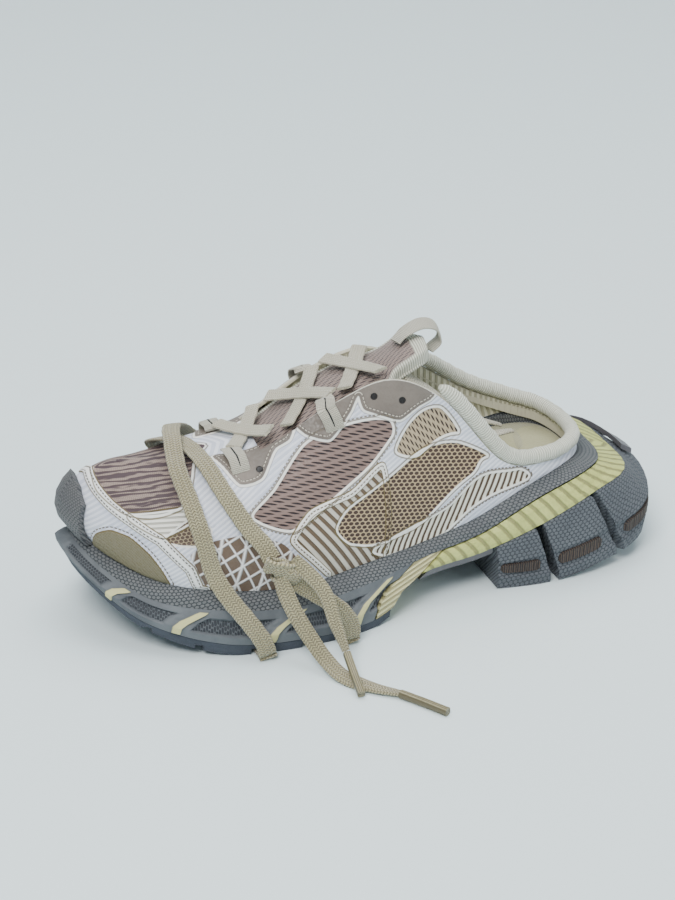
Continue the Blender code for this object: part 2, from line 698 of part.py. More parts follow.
def tongue():
    tops = []
    for t in stations(tongue_first, tongue_last):
        row = []
        under = wall + 3 * clearance
        opened = min(max((t - throat_station) / 0.5, 0), 1)
        lift = crown_lift + (tongue_lift - crown_lift) * opened
        for v in (tongue_tuck, 1.0):
            row.append(wall_point(t, v) - wall_normal(t, v) * under)
        for u in (0.25, 0.5, 0.75):
            row.append(crown_point(t, u, lift) - np.array([0, 0, under]))
        for v in (1.0, tongue_tuck):
            row.append(wall_point(-t, v) - wall_normal(-t, v) * under)
        tops.append(np.array(row))
    last = tops[-1]
    middle = last.mean(axis=0)
    for dx, dz, width in tongue_free:
        grown = last.copy()
        grown[:, 1] = middle[1] + (last[:, 1] - middle[1]) * width
        grown[:, 2] = middle[2] + (last[:, 2] - middle[2]) * 0.8
        tops.append(grown + np.array([dx, 0, dz]))
    sections = []
    for top in tops:
        sections.append(list(top) + list((top - np.array([0, 0, tongue_thickness]))[::-1]))
    return section_solid("tongue", sections, pale_knit, 60)


loop_rows = ((0.018, 0.0065, 0.1215), (0.024, 0.0075, 0.1257), (0.033, 0.0095, 0.1275), (0.041, 0.0115, 0.1245),
             (0.0435, 0.0115, 0.1175), (0.0375, 0.0105, 0.1125))
loop_width = 0.011


def pull_loop():
    path = smooth_path(loop_rows, 0.003)
    ups = np.cross(np.gradient(path, axis=0), np.array([0.25, 1.0, 0.05]))
    return sweep("pull_loop", path, ups, flat_profile(loop_width, 0.0013), webbing)


collar_first, collar_last = 6.85, 15.2


def collar_roll():
    t = np.linspace(collar_first, collar_last, 33)
    rim = (wall_point(t, 1.0) + wall_point(t, 1.0) - wall_normal(t, 1.0) * wall) / 2
    tangents = np.gradient(rim, axis=0)
    tangents /= np.linalg.norm(tangents, axis=1, keepdims=True)
    up = np.array([0, 0, 1.0]) - tangents * tangents[:, 2:]
    up /= np.linalg.norm(up, axis=1, keepdims=True)
    centre = rim + up * (collar_radius + clearance * 2)
    ends = [0.6, 0.85] + [1.0] * (len(t) - 4) + [0.85, 0.6]
    return sweep("collar_roll", centre, up, round_profile(collar_radius, 8), pale_knit, ends)


def insole():
    def side(t):
        t = t[0]
        foot = pushed(sole_point(t, "feather"), -rim_width - clearance)
        foot[2] = along(heights["bed"], t) + clearance
        head = foot + np.array([0, 0, insole_thickness])
        return [foot, head]

    return section_solid("insole", [across(side, [t]) for t in stations(0, heel_station, 0.33)], pale_lining)


# The lace's crossings over the tongue: first and last station of each, and the height of its middle
# over the throat's own line. Its ends rise to the webbing loops.
crossing_rows = ((3.55, 4.25, 0.0002), (4.45, 5.1, -0.0019), (5.3, 5.9, -0.0019))
crossing_end = 0.165
crossing_rise = 0.0047


def lace_strip(name, first, last, flip, lift):
    u = np.linspace(crossing_end, 1 - crossing_end, 7)
    t = first + (last - first) * (u - u[0]) / (u[-1] - u[0])
    if flip:
        u = 1 - u
    points = np.array([crown_point(a, b, tongue_lift) for a, b in zip(t, u)])
    slope = np.array([crown_point(a + 0.1, b, 0) - crown_point(a - 0.1, b, 0) for a, b in zip(t, u)])
    ups = np.stack([-slope[:, 2], 0 * u, slope[:, 0]], -1)
    ups /= np.linalg.norm(ups, axis=1, keepdims=True)
    points += ups * (lift + crossing_rise * (2 * u - 1) ** 2)[:, None]
    return sweep(name, points, ups, flat_profile(lace_width, lace_thickness),
                 pale_lace)


def lace_crossing(number, first, last, lift):
    item = lace_strip(f"lace_crossing_{number}", first, last, False, lift)
    other = lace_strip(f"lace_guide_{number}", first, last, True, lift + 0.4 * lace_thickness)
    other.hide_render = True
    other.display_type = "WIRE"
    modifier = item.modifiers.new("crossing", "BOOLEAN")
    modifier.operation = "UNION"
    modifier.solver = "EXACT"
    modifier.object = other
    return item


keeper_stations = (3.47, 4.95)
keeper_width = 0.009
keeper_thickness = 0.0012
keeper_rise = 0.0004
keeper_reach = 0.0015
keeper_gap = 0.0020         # over the eyestay, which curves under the loop


def lace_keeper(name, t, sign):
    lift = overlay_thickness + keeper_thickness / 2 + keeper_gap
    points = [wall_point(sign * t, v) + wall_normal(sign * t, v) * lift for v in (0.84, 0.90, 0.955, 1.0)]
    points.append(wall_point(sign * t, 1.0) + np.array([0, keeper_reach * sign, lift + keeper_rise]))
    ups = [wall_normal(sign * t, 0.9)] * 4 + [np.array([0, 0, 1.0])]
    return sweep(name, points, ups, flat_profile(keeper_width, keeper_thickness), webbing)


# The long lace's route, twice round the forefoot: from the knot over the vamp, down the medial side,
# through the tread's front gap, up over the vamp again and back through the rear gap. Millimetres.
wrap_route = (
    (-67.7, -54.2, 49), (-70.5, -50.5, 55), (-76, -44, 62), (-83, -34.5, 74.5), (-88, -19.5, 84.5), (-91, -4.5, 87), (-94, 6.5, 86.5),
    (-97.5, 16.5, 83), (-100, 25.5, 78.5), (-97, 37.5, 70.5), (-89, 48.5, 57), (-82, 53.5, 39), (-79, 57, 28),
    (-76, 62.5, 18), (-75, 65.5, 10), (-74.5, 65, 3.6), (-74, 61.5, 1.3), (-74, 53.5, 1.4), (-73.5, 3.5, 1.4),
    (-73, -58.5, 1.3), (-73.5, -63.5, 3.0), (-76, -64, 12), (-82, -60, 22), (-89, -52.5, 32),
    (-94, -46.5, 42.5), (-97, -41.5, 58), (-99.5, -33, 71.5), (-101.5, -20, 83), (-100.5, -10.5, 87.5),
    (-99, -2.5, 91), (-97, 6.5, 91.5), (-93.5, 16.5, 89), (-89.5, 26.5, 84), (-81, 40, 74), (-66, 50.5, 55),
    (-50, 54.5, 39), (-40, 56, 28), (-34, 59, 18), (-32.5, 62.5, 10), (-32, 62, 3.6), (-32, 58.5, 1.3),
    (-32, 49.5, 1.4), (-31.5, 3.5, 1.4), (-31, -58.5, 1.3), (-31.5, -63.5, 3.0), (-32, -64.5, 12), (-37, -64.5, 21),
    (-45, -62.5, 28), (-51, -61, 32.5), (-57.8, -60.4, 38),
)
front_end_route = ((-68, -62.5, 40), (-62, -68.5, 28), (-56, -75.5, 15), (-51, -83.5, 6.5), (-46, -94.5, 2.0),
                   (-37, -106.5, 1.9), (-27, -115.5, 2.2))
rear_end_route = ((-57.3, -62.5, 49), (-48, -70.5, 37), (-44.5, -78.5, 22), (-42, -85.5, 11))
front_tip_route = ((-26.3, -116.3, 2.2), (-12, -137, 2.1))
rear_tip_route = ((-41.9, -86.6, 9.8), (-43.6, -110, 2.2))
inner_end_routes = (((15.1, -5.5, 111.8), (34, -5.5, 97), (51, -2.5, 81), (74, 1.5, 69)),
                    ((16, -11, 111.2), (36, -13.5, 95), (54, -15.5, 76), (76, -8.5, 70)))
wrap_width = 0.009
tip_radius = 0.0019
knot_middle = (-63, -58, 43)
knot_size = (15, 9, 17)
wrap_axis = (0.0035, 0.035)  # y and z of the line that the lace goes round
wrap_lift = 0.0012
millimetre = 0.001


def route_path(rows, step):
    return smooth_path(np.array(rows) * millimetre, step)


def wrap_lace():
    path = route_path(wrap_route, 0.0112)
    axis = np.stack([path[:, 0], wrap_axis[0] + 0 * path[:, 0], wrap_axis[1] + 0 * path[:, 0]], -1)
    over = path[:, 2:] > lace_gap_depth
    path = path + np.where(over, wrap_lift, 0) * (path - axis) / np.linalg.norm(path - axis, axis=1, keepdims=True)
    return sweep("wrap_lace", path, path - axis, flat_profile(wrap_width, lace_thickness), beige_lace)


def cord_rod(name, rows, radius, look):
    path = route_path(rows, 0.0075)
    ups = np.tile([0.0, 0.3, 1.0], (len(path), 1))
    return sweep(name, path, ups, round_profile(radius, 6), look)


def lace_knot():
    mesh = bpy.data.meshes.new("lace_knot")
    shape = bmesh.new()
    bmesh.ops.create_icosphere(shape, subdivisions=2, radius=0.5)
    for vert in shape.verts:
        vert.co = [(c * size + middle) * millimetre for c, size, middle in zip(vert.co, knot_size, knot_middle)]
    shape.to_mesh(mesh)
    shape.free()
    return place("lace_knot", mesh, beige_lace)


clear_scene()
grey_foam = material("grey_foam", (0.30, 0.31, 0.32), 0.75)
yellow_foam = material("yellow_foam", (0.62, 0.62, 0.38), 0.7)
cream_foam = material("cream_foam", (0.72, 0.70, 0.52), 0.7)
dark_rubber = material("dark_rubber", (0.20, 0.22, 0.26), 0.7)
grey_plate = material("grey_plate", (0.42, 0.42, 0.43), 0.5)
knit = material("knit", (0.42, 0.37, 0.36), 0.9)
smooth_leather = material("smooth_leather", (0.44, 0.41, 0.38), 0.6)
silver_film = material("silver_film", (0.74, 0.75, 0.76), 0.4)
olive_film = material("olive_film", (0.55, 0.53, 0.42), 0.5)
pale_knit = material("pale_knit", (0.80, 0.79, 0.74), 0.95)
pale_lining = material("pale_lining", (0.70, 0.69, 0.58), 0.95)
pale_lace = material("pale_lace", (0.78, 0.76, 0.68), 0.95)
beige_lace = material("beige_lace", (0.62, 0.60, 0.48), 0.95)
webbing = material("webbing", (0.82, 0.80, 0.72), 0.9)
tip_plastic = material("tip_plastic", (0.50, 0.48, 0.40), 0.4)

midsole()
forefoot_frame()
outsole_forefoot()
arch_wedge()
chassis_band()
shank_plate()
for kind in ("front", "mid"):
    heel_block(f"heel_block_{kind}_lateral", kind, 1)
    heel_block(f"heel_block_{kind}_medial", kind, -1)
heel_block("heel_block_rear", "rear", 1)
heel_ridge()
upper()
overlay("toe_bumper", bumper_rows, 1, grey_foam, 15, 6, bumper_thickness)
for label, sign in (("lateral", 1), ("medial", -1)):
    overlay(f"toe_patch_{label}", patch_rows, sign, olive_film)
    overlay(f"eyestay_{label}", eyestay_rows, sign, smooth_leather, 22, 3)
    overlay(f"side_cage_{label}", cage_rows, sign, silver_film)
    for number, t in enumerate(keeper_stations, 1):
        lace_keeper(f"lace_keeper_{label}_{number}", t, sign)
tongue()
pull_loop()
collar_roll()
insole()
for number, (first, last, lift) in enumerate(crossing_rows, 1):
    lace_crossing(number, first, last, lift)
wrap_lace()
lace_knot()
cord_rod("lace_end_front", front_end_route, 0.0014, beige_lace)
cord_rod("lace_end_rear", rear_end_route, 0.0026, beige_lace)
cord_rod("lace_tip_front", front_tip_route, tip_radius, tip_plastic)
cord_rod("lace_tip_rear", rear_tip_route, tip_radius, tip_plastic)
for number, rows in enumerate(inner_end_routes, 1):
    cord_rod(f"inner_lace_end_{number}", rows, 0.0018, pale_lace)
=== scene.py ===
import math
import bmesh
import bpy
import numpy as np
from mathutils import Matrix


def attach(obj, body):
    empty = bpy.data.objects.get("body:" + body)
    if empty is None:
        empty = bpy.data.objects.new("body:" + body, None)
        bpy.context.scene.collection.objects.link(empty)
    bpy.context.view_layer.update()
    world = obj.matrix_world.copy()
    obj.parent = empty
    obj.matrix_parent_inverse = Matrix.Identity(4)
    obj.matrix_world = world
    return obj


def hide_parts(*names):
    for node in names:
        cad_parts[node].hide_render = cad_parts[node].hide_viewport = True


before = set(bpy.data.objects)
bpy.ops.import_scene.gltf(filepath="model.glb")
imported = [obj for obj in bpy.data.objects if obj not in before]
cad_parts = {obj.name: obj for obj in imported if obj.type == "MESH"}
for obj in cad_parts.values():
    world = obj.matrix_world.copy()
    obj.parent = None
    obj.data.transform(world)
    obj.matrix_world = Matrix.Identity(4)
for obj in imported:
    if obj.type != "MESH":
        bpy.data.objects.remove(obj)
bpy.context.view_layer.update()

shoe = {"soleLength": 0.310, "ballWidth": 0.121, "heelStack": 0.058, "instepHeight": 0.118,
        "wall": 0.0025, "gap": 0.0003}

# stations round the last: 0 toe tip, 1 to 10 lateral, 11 heel, 12 to 21 medial
outlineRows = (
    (-0.500, 0.080, -0.470, 0.080, 0.20, 0.60),
    (-0.474, -0.135, -0.435, -0.110, 0.20, 0.55),
    (-0.403, -0.325, -0.370, -0.270, 0.15, 0.50),
    (-0.289, -0.458, -0.270, -0.375, 0.12, 0.45),
    (-0.167, -0.500, -0.164, -0.400, 0.12, 0.40),
    (-0.054, -0.466, -0.054, -0.367, 0.12, 0.40),
    (0.053, -0.383, 0.049, -0.317, 0.12, 0.40),
    (0.156, -0.350, 0.143, -0.284, 0.12, 0.40),
    (0.259, -0.375, 0.230, -0.268, 0.12, 0.40),
    (0.362, -0.367, 0.307, -0.226, 0.20, 0.50),
    (0.462, -0.255, 0.355, -0.110, 0.33, 0.70),
    (0.500, 0.063, 0.378, 0.063, 0.40, 0.78),
    (0.466, 0.358, 0.361, 0.245, 0.33, 0.70),
    (0.369, 0.448, 0.311, 0.320, 0.20, 0.50),
    (0.265, 0.420, 0.230, 0.336, 0.12, 0.40),
    (0.156, 0.385, 0.143, 0.328, 0.12, 0.40),
    (0.050, 0.375, 0.050, 0.310, 0.12, 0.40),
    (-0.061, 0.435, -0.061, 0.352, 0.12, 0.40),
    (-0.173, 0.500, -0.167, 0.418, 0.12, 0.40),
    (-0.296, 0.485, -0.276, 0.410, 0.12, 0.45),
    (-0.409, 0.402, -0.377, 0.336, 0.15, 0.50),
    (-0.478, 0.253, -0.438, 0.220, 0.20, 0.55),
)
heightRows = (
    (0.655, 0.71, 0.76, 0.79, 0.81, 0.86, 0.76),
    (0.500, 0.57, 0.62, 0.64, 0.66, 0.72, 0.66),
    (0.207, 0.29, 0.36, 0.40, 0.46, 0.58, 0.54),
    (0.010, 0.12, 0.21, 0.26, 0.39, 0.51, 0.47),
    (0.0, 0.09, 0.19, 0.24, 0.36, 0.48, 0.45),
    (0.0, 0.09, 0.21, 0.28, 0.41, 0.53, 0.50),
    (0.200, 0.27, 0.32, 0.36, 0.48, 0.57, 0.55),
    (0.030, 0.14, 0.27, 0.40, 0.56, 0.66, 0.62),
    (0.0, 0.10, 0.30, 0.60, 0.82, 0.85, 0.74),
    (0.090, 0.19, 0.42, 0.80, 0.955, 0.97, 0.80),
    (0.190, 0.30, 0.52, 0.82, 0.93, 0.95, 0.80),
    (0.280, 0.39, 0.60, 0.75, 0.87, 0.91, 0.79),
    (0.200, 0.31, 0.54, 0.80, 0.92, 0.95, 0.80),
    (0.090, 0.19, 0.42, 0.80, 0.955, 0.98, 0.80),
    (0.0, 0.10, 0.30, 0.61, 0.83, 0.87, 0.75),
    (0.030, 0.14, 0.27, 0.41, 0.58, 0.68, 0.63),
    (0.200, 0.27, 0.32, 0.37, 0.50, 0.58, 0.56),
    (0.0, 0.09, 0.21, 0.28, 0.41, 0.53, 0.50),
    (0.0, 0.09, 0.19, 0.24, 0.36, 0.48, 0.45),
    (0.010, 0.12, 0.21, 0.26, 0.39, 0.51, 0.47),
    (0.207, 0.29, 0.36, 0.40, 0.46, 0.58, 0.54),
    (0.500, 0.57, 0.62, 0.64, 0.66, 0.72, 0.66),
)
upperRows = (
    (-0.402, 0.050, 0.695, 0.120, 0.52, 0.55, -0.02),
    (-0.388, -0.010, 0.695, 0.105, 0.52, 0.55, -0.02),
    (-0.347, -0.055, 0.70, 0.065, 0.50, 0.50, 0.0),
    (-0.270, -0.095, 0.705, 0.035, 0.50, 0.50, 0.0),
    (-0.192, -0.128, 0.725, 0.025, 0.50, 0.45, 0.04),
    (-0.083, -0.160, 0.89, 0.025, 0.45, 0.40, 0.15),
    (0.013, -0.177, 0.975, 0.025, 0.45, 0.30, 0.22),
    (0.097, -0.220, 0.87, 0.020, 0.45, 0.15, 0.35),
    (0.194, -0.260, 0.565, 0.015, 0.40, 0.05, 0.40),
    (0.278, -0.243, 0.515, 0.0, 0.40, 0.0, 0.40),
    (0.346, -0.130, 0.505, 0.0, 0.40, 0.0, 0.40),
    (0.369, 0.063, 0.490, 0.0, 0.40, 0.0, 0.40),
    (0.350, 0.230, 0.508, 0.0, 0.40, 0.0, 0.40),
    (0.298, 0.303, 0.545, 0.0, 0.40, 0.0, 0.40),
    (0.220, 0.311, 0.64, 0.015, 0.40, 0.05, 0.40),
    (0.130, 0.294, 0.80, 0.020, 0.45, 0.15, 0.35),
    (0.033, 0.253, 0.930, 0.025, 0.45, 0.30, 0.22),
    (-0.070, 0.228, 0.87, 0.025, 0.45, 0.40, 0.15),
    (-0.186, 0.195, 0.715, 0.025, 0.50, 0.45, 0.04),
    (-0.270, 0.162, 0.680, 0.035, 0.50, 0.50, 0.0),
    (-0.347, 0.129, 0.665, 0.065, 0.50, 0.50, 0.0),
    (-0.390, 0.092, 0.680, 0.105, 0.52, 0.55, -0.02),
)

stationCount = len(outlineRows)
outlineTable, heightTable, upperTable = (np.array(rows) for rows in (outlineRows, heightRows, upperRows))
soleX, soleY, featherX, featherY, lowIn, highIn = outlineTable.T
soleX, featherX = soleX * shoe["soleLength"], featherX * shoe["soleLength"]
soleY, featherY = soleY * shoe["ballWidth"], featherY * shoe["ballWidth"]
heightOf = {name: heightTable[:, k] * shoe["heelStack"]
            for k, name in enumerate(("ground", "tread", "belly", "low", "high", "feather", "bed"))}
edgeX, edgeY, edgeZ, bulge, rise, lean, drop = upperTable.T
edgeX, edgeY, edgeZ, bulge = (edgeX * shoe["soleLength"], edgeY * shoe["ballWidth"],
                              edgeZ * shoe["instepHeight"], bulge * shoe["ballWidth"])


# closed Catmull-Rom: p(u) = (2 p1 + (p2 - p0) u + (2 p0 - 5 p1 + 4 p2 - p3) u2 + (3 p1 - p0 - 3 p2 + p3)
# u3) / 2
def along(column, t):
    t = np.asarray(t, float) % stationCount
    i = np.floor(t).astype(int)
    u = t - i
    a, b, c, d = (column[(i + k) % stationCount] for k in (-1, 0, 1, 2))
    return 0.5 * (2 * b + (c - a) * u + (2 * a - 5 * b + 4 * c - d) * u ** 2 + (3 * b - a - 3 * c + d)
                  * u ** 3)


# middle line of the last, held between the toe and the heel
def midLine(x):
    return np.stack([np.clip(x, -0.316 * shoe["soleLength"], 0.281 * shoe["soleLength"]),
                     0.05 * shoe["ballWidth"] + 0 * x], -1)


# level direction away from the middle line: n = (p - m) / |p - m|
def outward(points):
    away = points[..., :2] - midLine(points[..., 0])
    away = away / np.linalg.norm(away, axis=-1, keepdims=True)
    return np.concatenate([away, 0 * away[..., :1]], -1)


# sole side at station t: outline and feather line mixed by how far in the level lies
def solePoint(t, level):
    t = np.asarray(t, float)
    x0, y0, x1, y1 = (along(c, t) for c in (soleX, soleY, featherX, featherY))
    share = {"feather": 1 + 0 * t, "low": along(lowIn, t), "high": along(highIn, t), "belly": 0 * t,
             "tread": 0.0004 / np.hypot(x0 - x1, y0 - y1), "ground": 0.0015
             / np.hypot(x0 - x1, y0 - y1)}[level]
    return np.stack([x0 + (x1 - x0) * share, y0 + (y1 - y0) * share,
                     np.maximum(along(heightOf[level], t), 0)], -1)


# the upper's wall: a cubic in v from the feather line (v = 0) to the top edge (v = 1)
def wallPoint(t, v):
    t, v = np.broadcast_arrays(np.asarray(t, float), np.asarray(v, float))
    foot = solePoint(t, "feather") + np.array([0, 0, shoe["gap"]])
    top = np.stack([along(edgeX, t), along(edgeY, t), along(edgeZ, t)], -1)
    r, l, d = (along(c, t)[..., None] for c in (rise, lean, drop))
    span = top - foot
    low = foot + outward(foot) * along(bulge, t)[..., None]
    low[..., 2:] += r * span[..., 2:]
    high = top - np.concatenate([l * span[..., :2], d * span[..., 2:]], -1)
    v = v[..., None]
    return foot * (1 - v) ** 3 + low * 3 * v * (1 - v) ** 2 + high * 3 * v ** 2 * (1 - v) + top * v ** 3


# straight from edge to edge with a parabola on top: p = a (1 - u) + b u + 4 lift u (1 - u)
def crownPoint(t, u, lift):
    u = np.asarray(u, float)[..., None]
    return wallPoint(t, 1.0) * (1 - u) + wallPoint(-np.asarray(t),
                                                   1.0) * u + np.array([0, 0, 1.0]) * lift * 4 * u * (1 - u)


crownReach = 0.9      # v goes on over the crown: u = (v - 1) * crownReach
crownLift = 0.0015


# the wall up to v = 1, and from there over the crown
def skinPoint(t, v):
    t, v = np.broadcast_arrays(np.asarray(t, float), np.asarray(v, float))
    over = np.clip((v - 1) * crownReach, 0, 1)
    ends = np.clip(np.abs(t) * 4 / 3, 0, 1)
    crown = crownPoint(t, over, 0) + np.array([0, 0, 4 * crownLift]) * (ends * over * (1 - over))[..., None]
    return np.where((v > 1)[..., None], crown, wallPoint(t, np.minimum(v, 1)))


# normal from the central differences along t and v
def skinNormal(t, v, step=0.01):
    t, v = np.broadcast_arrays(np.asarray(t, float), np.asarray(v, float))
    side = skinPoint(t + step, v) - skinPoint(t - step, v)
    up = skinPoint(t, v + step) - skinPoint(t, np.maximum(v - step, 0))
    n = np.cross(side, up)
    return n / np.maximum(np.linalg.norm(n, axis=-1, keepdims=True), 1e-9)


# open Catmull-Rom through rows, resampled to even steps
def smoothLine(rows, step):
    rows = np.array(rows, float)
    ends = np.vstack([2 * rows[0] - rows[1], rows, 2 * rows[-1] - rows[-2]])
    u = np.linspace(0, 1, 24, endpoint=False)[:, None]
    fine = np.vstack([0.5 * (2 * b + (c - a) * u + (2 * a - 5 * b + 4 * c - d) * u ** 2
                             + (3 * b - a - 3 * c + d) * u ** 3)
                      for a, b, c, d in zip(ends, ends[1:], ends[2:], ends[3:])] + [rows[-1:]])
    reach = np.r_[0, np.cumsum(np.linalg.norm(np.diff(fine[:, :3], axis=0), axis=1))]
    marks = np.linspace(0, reach[-1], max(2, int(round(reach[-1] / step)) + 1))
    return np.stack([np.interp(marks, reach, fine[:, k]) for k in range(fine.shape[1])], -1)


# corners of the quads between neighbouring rows and columns
def gridQuads(rows, cols, closeRows=False, closeCols=False, start=0):
    i = np.arange(rows if closeRows else rows - 1)[:, None]
    j = np.arange(cols if closeCols else cols - 1)[None, :]
    a, b = i * cols + j, i * cols + (j + 1) % cols
    c, d = (i + 1) % rows * cols + (j + 1) % cols, (i + 1) % rows * cols + j
    return np.stack(np.broadcast_arrays(a, b, c, d), -1).reshape(-1, 4) + start


# mesh of points and quads with uv and point values, which rides on the root
def makePiece(name, points, quads, material, uv=None, values=None, smoothAngle=50, flip=False,
              weld=True):
    mesh = bpy.data.meshes.new(name)
    points = np.asarray(points, float).reshape(-1, 3)
    quads = np.asarray(quads)
    if flip:
        quads = quads[:, ::-1]
    mesh.from_pydata(points.tolist(), [], quads.tolist())
    if uv is not None:
        layer = mesh.uv_layers.new(name="skin")
        corner = np.empty(len(mesh.loops), int)
        mesh.loops.foreach_get("vertex_index", corner)
        layer.data.foreach_set("uv", np.asarray(uv, float).reshape(-1, 2)[corner].ravel())
    for key, value in (values or {}).items():
        mesh.attributes.new(key, "FLOAT", "POINT").data.foreach_set("value",
                np.asarray(value, float).ravel())
    if weld:
        shape = bmesh.new()
        shape.from_mesh(mesh)
        bmesh.ops.remove_doubles(shape, verts=shape.verts, dist=2e-6)
        bmesh.ops.dissolve_degenerate(shape, edges=shape.edges, dist=1e-7)
        shape.to_mesh(mesh)
        shape.free()
    mesh.materials.append(material)
    mesh.shade_smooth()
    mesh.set_sharp_from_angle(angle=math.radians(smoothAngle))
    item = bpy.data.objects.new(name, mesh)
    bpy.context.scene.collection.objects.link(item)
    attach(item, "root")
    return item


# colours are given as on screen and turned to light, deeper than sRGB has it because the studio light
# washes them out: c = ((s + 0.055) / 1.055) ^ 3.1
def tint(r, g, b):
    return tuple(((c / 255 + 0.055) / 1.055) ** 3.1 for c in (r, g, b)) + (1.0,)


# a socket is linked, a number is set
def socketOf(tree, value, socket):
    if isinstance(value, bpy.types.NodeSocket):
        tree.links.new(value, socket)
    elif value is not None:
        socket.default_value = value


def maths(tree, kind, *values, clamp=False):
    node = tree.nodes.new("ShaderNodeMath")
    node.operation = kind
    node.use_clamp = clamp
    for value, socket in zip(values, node.inputs):
        socketOf(tree, value, socket)
    return node.outputs[0]


def vectors(tree, kind, *values):
    node = tree.nodes.new("ShaderNodeVectorMath")
    node.operation = kind
    for value, socket in zip(values, node.inputs):
        socketOf(tree, value, socket)
    return node.outputs["Value"] if kind in ("LENGTH", "DOT_PRODUCT",
                                             "DISTANCE") else node.outputs["Vector"]


def ramp(tree, value, low, high, toLow=0.0, toHigh=1.0, smooth=True):
    node = tree.nodes.new("ShaderNodeMapRange")
    node.interpolation_type = "SMOOTHSTEP" if smooth else "LINEAR"
    for v, key in ((value, "Value"), (low, "From Min"), (high, "From Max"), (toLow, "To Min"),
                   (toHigh, "To Max")):
        socketOf(tree, v, node.inputs[key])
    return node.outputs["Result"]


def blendTint(tree, share, a, b, kind="MIX"):
    node = tree.nodes.new("ShaderNodeMix")
    node.data_type = "RGBA"
    node.blend_type = kind
    socketOf(tree, share, node.inputs["Factor"])
    socketOf(tree, a, node.inputs["A"])
    socketOf(tree, b, node.inputs["B"])
    return node.outputs["Result"]


def noise(tree, vector, scale, detail=3.0, roughness=0.55):
    node = tree.nodes.new("ShaderNodeTexNoise")
    for value, key in ((vector, "Vector"), (scale, "Scale"), (detail, "Detail"), (roughness, "Roughness")):
        socketOf(tree, value, node.inputs[key])
    return node.outputs["Fac"]


def splitVector(tree, vector):
    node = tree.nodes.new("ShaderNodeSeparateXYZ")
    socketOf(tree, vector, node.inputs[0])
    return node.outputs[0], node.outputs[1], node.outputs[2]


def joinVector(tree, x, y, z=0.0):
    node = tree.nodes.new("ShaderNodeCombineXYZ")
    for value, socket in zip((x, y, z), node.inputs):
        socketOf(tree, value, socket)
    return node.outputs[0]


def turnedVector(tree, vector, degrees, scale=(1.0, 1.0, 1.0)):
    node = tree.nodes.new("ShaderNodeMapping")
    socketOf(tree, vector, node.inputs["Vector"])
    node.inputs["Rotation"].default_value = (0, 0, math.radians(degrees))
    node.inputs["Scale"].default_value = scale
    return node.outputs["Vector"]


def effectGroup(name, inputs, outputs):
    tree = bpy.data.node_groups.new(name, "ShaderNodeTree")
    for key, kind, value in inputs:
        socket = tree.interface.new_socket(key, in_out="INPUT", socket_type=kind)
        if value is not None:
            socket.default_value = value
    for key in outputs:
        tree.interface.new_socket(key, in_out="OUTPUT", socket_type="NodeSocketFloat")
    return tree, tree.nodes.new("NodeGroupInput").outputs, tree.nodes.new("NodeGroupOutput").inputs


vectorSocket, floatSocket = "NodeSocketVector", "NodeSocketFloat"


# holes on a triangular lattice: the nearest of two lattices of 1 by root 3, half a cell apart
def buildHexCells():
    tree, given, out = effectGroup("hexCells", (("Vector", vectorSocket, None),
                                                ("Pitch", floatSocket, 3.0)),
                                   ("Distance", "Ridge"))
    cell = (1.0, math.sqrt(3), 1.0)
    scaled = vectors(tree, "DIVIDE", vectors(tree, "DIVIDE", given["Vector"],
                                             joinVector(tree, given["Pitch"], given["Pitch"],
                                                        given["Pitch"])), cell)
    reach = []
    for shift in (0.0, 0.5):
        moved = vectors(tree, "FRACTION", vectors(tree, "ADD", scaled, (shift, shift, 0)))
        away = vectors(tree, "MULTIPLY", vectors(tree, "SUBTRACT", moved, (0.5, 0.5, 0.0)),
                       (1.0, math.sqrt(3), 0.0))
        reach.append(vectors(tree, "LENGTH", away))
    distance = maths(tree, "MINIMUM", *reach)
    tree.links.new(distance, out["Distance"])
    tree.links.new(ramp(tree, distance, 0.34, 0.48), out["Ridge"])
    return tree


# lens-shaped slits in rows, each row shifted by a part of its length
def buildSlitRows():
    tree, given, out = effectGroup("slitRows", (("Vector", vectorSocket, None),
                                                ("Length", floatSocket, 6.0),
                                                ("Pitch", floatSocket, 1.6)), ("Slit", "Rib"))
    x, y, z = splitVector(tree, given["Vector"])
    row = maths(tree, "DIVIDE", y, given["Pitch"])
    index = maths(tree, "FLOOR", row)
    jitter = maths(tree, "FRACT", maths(tree, "MULTIPLY", index, 0.618))
    u = maths(tree, "FRACT", maths(tree, "ADD", maths(tree, "DIVIDE", x, given["Length"]), jitter))
    bow = maths(tree, "SUBTRACT", 1.0, maths(tree, "POWER", maths(tree, "ABSOLUTE", maths(
        tree, "SUBTRACT", maths(tree, "MULTIPLY", u, 2.6), 1.3)), 2.0), clamp=True)
    across = maths(tree, "ABSOLUTE", maths(tree, "SUBTRACT", maths(tree, "FRACT", row), 0.5))
    slit = ramp(tree, maths(tree, "SUBTRACT", maths(tree, "MULTIPLY", bow, 0.34), across), 0.0, 0.14)
    tree.links.new(slit, out["Slit"])
    tree.links.new(maths(tree, "MULTIPLY", across, 2.0), out["Rib"])
    return tree


# over-and-under weave: the product of two sines
def buildFineWeave():
    tree, given, out = effectGroup("fineWeave", (("Vector", vectorSocket, None),
                                                 ("Pitch", floatSocket, 0.8)),
                                   ("Height",))
    x, y, z = splitVector(tree, given["Vector"])
    turns = maths(tree, "DIVIDE", 2 * math.pi, given["Pitch"])
    wave = maths(tree, "MULTIPLY", maths(tree, "SINE", maths(tree, "MULTIPLY", x, turns)),
                 maths(tree, "SINE", maths(tree, "MULTIPLY", y, turns)))
    tree.links.new(maths(tree, "ADD", maths(tree, "MULTIPLY", wave, 0.5), 0.5), out["Height"])
    return tree


